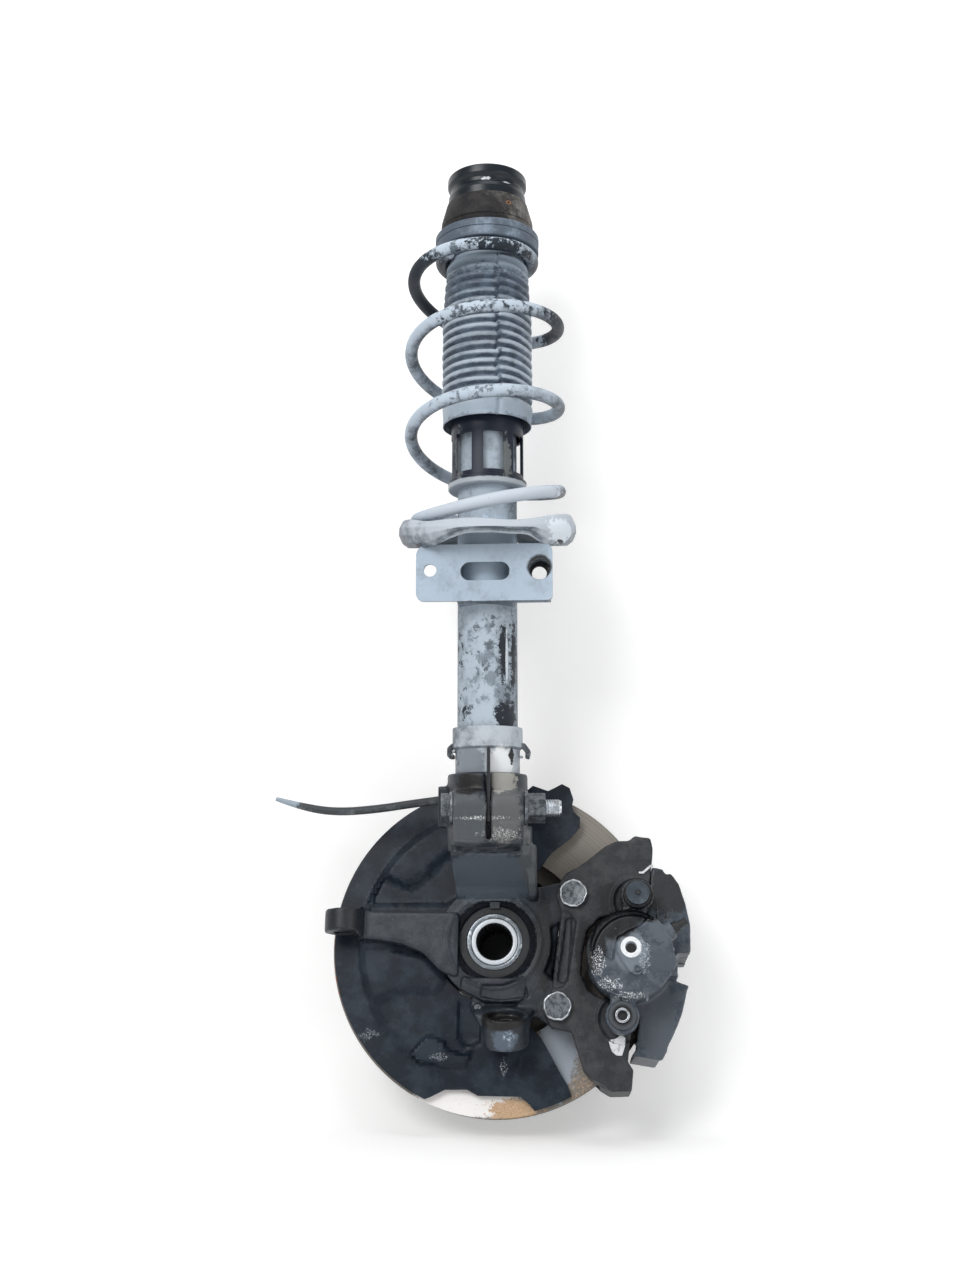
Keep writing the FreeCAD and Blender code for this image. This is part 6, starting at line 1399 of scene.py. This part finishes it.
BELOW = [(100, -79.6, 0), (137, -79.6, 0), (149, -74, 0), (154, -61.5, 0), (160.5, -38, 0), (163, -14, 0),
    (200, -14, 0), (200, -120, 0), (100, -120, 0)]
LOBE = [(122, 79.4, 1), (132, 78.5, 1), (134, 74.8, 1), (139, 76, 1), (146.4, 68, 3), (153.7, 52.7, 6),
    (159.3, 35.4, 6), (162, 14.2, 1), (150.8, 11.5, 1), (124, 20, 1)]
CUTTERS = {"notch_cutter": NOTCH, "upper_cutter": ABOVE, "lower_cutter": BELOW}
housing = drilled(show(node_copy("caliper_housing"), "housing_copy"),
    [plate(name, outline, -130, 70, where=CALIPER) for name, outline in CUTTERS.items()])
grown = [housing.data, plate_mesh("upper_lobe", LOBE, -14, 12, where=CALIPER), plate_mesh("port_pad", DROP,
    40, 49.4, where=CALIPER), plate_mesh("bridge_rib", RIB, 36, 48.4, where=CALIPER)]
bpy.data.objects.remove(housing)
RIDGES = [([(122.4, -17.1, 46), (127.6, -27, 46), (131.3, -34.6, 45)], 1.5),
    ([(132.8, 5.1, 47.4), (131, -6.6, 47.4)], 1.3),
    ([(130, 43, 30), (131.5, 32, 33), (121, 24, 40), (148, 9, 40)], 1.4)]
for path, thick in RIDGES:
    grown.append(swept_mesh("parting_ridge", place(np.array(path, float), CALIPER), thick, 12, OUTBOARD))
caliper = cast("cast_caliper", grown, soften=4, lump=0.22, rounds=[(PORT, 4.3, 39, 51, 1.2),
    (CYLINDER, BORE_RADIUS, -20, 39, 2.4)], flats=[(PORT, 50.0, 8.2, 0.9), (CYLINDER, BORE_END, 27.9, 3.4)])


FACE_CENTRE = (115.5, -0.5)
FACE_RADIUS = 31.0
STEP_DEPTH = 2.8
HOLE_SPOT = (120.2, -11.5)
FACE_RECESS = [(80, 6), (86, 30), (100, 42), (115.3, 44.9), (130, 38.2), (118.8, 22.7), (110.6, 17.4),
    (102.7, 10.6), (100.9, -0.9), (101, -9), (89.2, -4), (80, -2)]
DROP_LINE = [corner[:2] for corner in DROP]


def cylinder_forms(x, y):
    """A step round the end face, its lower part at the upper left, and a small drilled hole."""
    from_face = np.hypot(x - FACE_CENTRE[0], y - FACE_CENTRE[1])
    step = -STEP_DEPTH * eased(from_face, FACE_RADIUS, FACE_RADIUS + 1.6) * (from_face < 38) * (x < 128)
    step = step + panel(x, y, FACE_RECESS, -3.2, 1.6) * (depth_inside(x, y, DROP_LINE) < -0.5)
    return step - 3.5 * (1 - eased(np.hypot(x - HOLE_SPOT[0], y - HOLE_SPOT[1]), 2.0, 3.2))


relief(caliper, CALIPER, 41, 50, cylinder_forms)
carry(caliper, "caliper", caliper_iron, "caliper_iron", "caliper_housing")

# %% [markdown]
# The small hardware: a bright seat ring in the hose port, a nib on the blue cap, the steel eye
# of the lower guide pin inside its grey rubber, the bent spring clips that hold the pads, and
# the carrier's bolts. The inner pad's backing is drawn a little small, because the soft inner
# corners of the cast carrier would touch it when the caliper slides.

# %% Caliper hardware
port_ring = turned("hose_port_ring", [(4.3, 47, 0.2), (8.5, 47, 0.2), (8.5, 50.1, 0.7), (4.3, 50.1, 0.7)],
    where=PORT, steps=72)
carry(port_ring, "caliper", port_white, "caliper_iron")
bevelled("guide_cap", 0.8, "caliper", cap_blue, "cap_plastic", segments=3)
cap_nib = turned("guide_cap_nib", [(0, 50, 0), (2.6, 50, 0), (2.0, 52.4, 0.8), (0, 52.4, 0)], steps=32,
    where=on_caliper(113, PIN_SIDE), closed=False)
carry(cap_nib, "caliper", dark_seal, "cap_plastic")
pin_eye = turned("guide_pin_eye", [(3.6, 35, 0), (5.9, 35, 0), (5.9, 44.6, 0.6), (4.0, 44.6, 0.6),
    (3.4, 40, 0.4)], steps=48, where=on_caliper(113, -PIN_SIDE))
carry(pin_eye, "strut", bright_steel, "bolt_steel")
LOWER_CLIP = [(104.6, -66, 1), (110.5, -63.8, 1), (113.6, -60.4, 0.8), (117.6, -61.8, 0.8), (118.4, -67.6, 2),
    (116.9, -76.3, 1), (112.4, -76.6, 1), (108.6, -74.5, 1.5), (106.5, -70.6, 2)]
UPPER_CLIP = [(112.2, 72.9, 0.4), (115.1, 73.5, 1), (117.7, 76.5, 1), (120.3, 79.7, 1), (123.1, 80.8, 0.4),
    (123.6, 79.3, 0.4), (121, 77.6, 1), (118.8, 74.8, 1), (116, 71.7, 1), (112, 71.3, 0.4)]
for name, outline in (("lower_pad_clip", LOWER_CLIP), ("upper_pad_clip", UPPER_CLIP)):
    clip = plate(name, outline, 14.2, 15.4, where=CALIPER, edge=0.35)
    carry(clip, "strut", spring_clip, "clip_steel", "pad_clips")
BOLT_LINE = [(0, -14, 0), (6, -14, 0.5), (6, 14, 0.2), (11.3, 14, 0.3), (11.3, 17.8, 0.6), (9.6, 18.7, 0.4),
    (0, 18.4, 0)]
RIM_LINE = [(10.1, 17.6, 0.2), (11.6, 17.2, 0.3), (11.4, 18.4, 0.5), (10.6, 19.2, 0.5), (9.9, 18.7, 0.3)]


def worn_round(radius, angle, height):
    """A hammered edge: the radius wanders by 0.25 sin(5a) and 0.15 sin(11a + 1)."""
    return radius + (0.25 * np.sin(5 * angle) + 0.15 * np.sin(11 * angle + 1)) * (radius > 9), angle, height


for side, level in (("upper", 46.3), ("lower", -46.3)):
    spot = on_caliper(60.5, level)
    head = turned(side + "_carrier_bolt", BOLT_LINE, where=spot, steps=72, closed=False, bend=worn_round)
    carry(head, "strut", zinc_bolt, "bolt_steel", "carrier_bolts")
    rim = turned(side + "_carrier_bolt_rim", RIM_LINE, where=spot, steps=72, bend=worn_round)
    carry(rim, "strut", bright_steel, "bolt_steel")
PAD_SHRINK = 0.975
pad_back = bevelled("inner_pad_backing", 0.5, "piston", lining_rust, "caliper_iron")
pad_points = read_points(pad_back.data)
write_points(pad_back.data, pad_points.mean(0) + PAD_SHRINK * (pad_points - pad_points.mean(0)))
bevelled("guide_pins", 0.4, "strut", dark_seal, "bolt_steel")
bevelled("guide_bushes", 0.9, "caliper", bush_grey, "bush_rubber", segments=3)
bevelled("bleed_screw", 0.3, "caliper", dark_seal, "bolt_steel")
bevelled("lead_grommet", 0.5, "strut", lead_black, "lead_black")
lead.data.materials.append(lead_black)

# %% [markdown]
# The pieces that are inside the others, or behind them, keep their solids from the engineering
# model. They only get their material.

# %% Inner pieces
INNER = {"mount_sleeve": zinc_bolt, "steering_balls": bright_steel, "bump_stop": foam_bump,
    "piston_rod": rod_chrome, "damper_piston": zinc_bolt, "rod_guide": zinc_bolt, "pressure_tube": zinc_bolt,
    "base_valve": zinc_bolt, "wheel_bearing_balls": bright_steel, "outer_pad_lining": lining_rust,
    "outer_pad_backing": lining_rust, "inner_pad_lining": lining_rust, "hub_plug": dark_seal,
    "caliper_piston": bright_steel, "piston_seal": dark_seal, "piston_boot": dark_seal}
for node, material in INNER.items():
    mesh = frame["nodes"][node].data
    mesh.materials.clear()
    mesh.materials.append(material)
print(len(INNER), "inner pieces painted")

# %% [markdown]
# The object hangs close before a white wall that curves into the floor, so that both catch its
# soft shadows. The wall is there only from its front: where a view looks through its back, the
# Backfacing output makes it clear. White is added to it for camera and mirror rays alone.

# %% Stage
FLOOR_LEVEL = -830
WALL = 125
CORNER_BEND = 90
STAGE_GLOW = 0.34
STAGE_REACH = 2500
WALL_TOP = 1600
stage_material, tree, shader = new_material("pale_stage")
fill(tree, shader, Base_Color=(0.8, 0.8, 0.8, 1), Roughness=1.0, Specular_IOR_Level=0.0)
rays = new_node(tree, "LightPath").outputs
seen = sums(tree, "MAXIMUM", rays["Is Camera Ray"], rays["Is Glossy Ray"])
seen = sums(tree, "MAXIMUM", seen, rays["Is Transmission Ray"])
glow = new_node(tree, "Emission", Strength=sums(tree, "MULTIPLY", seen, STAGE_GLOW))
both = new_node(tree, "AddShader", tree.nodes["Principled BSDF"].outputs["BSDF"], glow.outputs["Emission"])
clear = new_node(tree, "BsdfTransparent")
side = new_node(tree, "NewGeometry").outputs["Backfacing"]
choice = new_node(tree, "MixShader", side, both.outputs["Shader"], clear.outputs["BSDF"])
fill(tree, tree.nodes["Material Output"].inputs, Surface=choice.outputs["Shader"])
bow = np.linspace(0, math.pi / 2, 16)
sweep_y = np.concatenate([[-STAGE_REACH], WALL - CORNER_BEND + CORNER_BEND * np.sin(bow), [WALL]])
sweep_z = np.concatenate([[FLOOR_LEVEL], FLOOR_LEVEL + CORNER_BEND - CORNER_BEND * np.cos(bow), [WALL_TOP]])
sweep_x = np.linspace(-STAGE_REACH, STAGE_REACH, 5)
stage_points = np.stack([np.repeat(sweep_x[None], len(sweep_y), 0).ravel(), np.repeat(sweep_y, 5),
    np.repeat(sweep_z, 5)], -1)
stage_faces = quads(len(sweep_y), 5, False, False)
floor = show(fill_mesh("studio_sweep", stage_points, stage_faces), "studio_sweep")
floor.data.materials.append(stage_material)
floor.data.shade_smooth()

# %% [markdown]
# The room's light is even and weak. It shows as white to the camera and to transmission rays,
# and lights the object with less. A large lamp at the upper left, as in the photograph, makes
# the form.

# %% Light
ROOM_LIGHT = 0.35
world = bpy.data.worlds.new("studio")
bpy.context.scene.world = world
world.use_nodes = True
tree = world.node_tree
rays = new_node(tree, "LightPath").outputs
seen = sums(tree, "MAXIMUM", rays["Is Camera Ray"], rays["Is Transmission Ray"])
fill(tree, tree.nodes["Background"].inputs, Color=(1, 1, 1, 1), Strength=between(tree, seen, ROOM_LIGHT, 1.0))


def soft_lamp(name, place_at, aim, size, power):
    """A square area lamp, turned so that its face looks at the aim point."""
    data = bpy.data.lights.new(name, "AREA")
    data.size = size
    data.energy = power
    lamp = bpy.data.objects.new(name, data)
    bpy.context.collection.objects.link(lamp)
    lamp.location = place_at
    way = np.array(aim) - np.array(place_at)
    level = math.hypot(way[0], way[1])
    lamp.rotation_euler = (math.pi / 2 + math.atan2(way[2], level), 0, math.atan2(-way[0], way[1]))


soft_lamp("key", (-0.85, -1.85, 0.7), (0, 0, -0.45), 1.0, 26)
soft_lamp("fill", (1.6, -1.6, -0.2), (0, 0, -0.5), 1.2, 11)
soft_lamp("from_above", (0.1, -0.5, 1.0), (0, 0, -0.4), 0.8, 6)
print("three lamps")
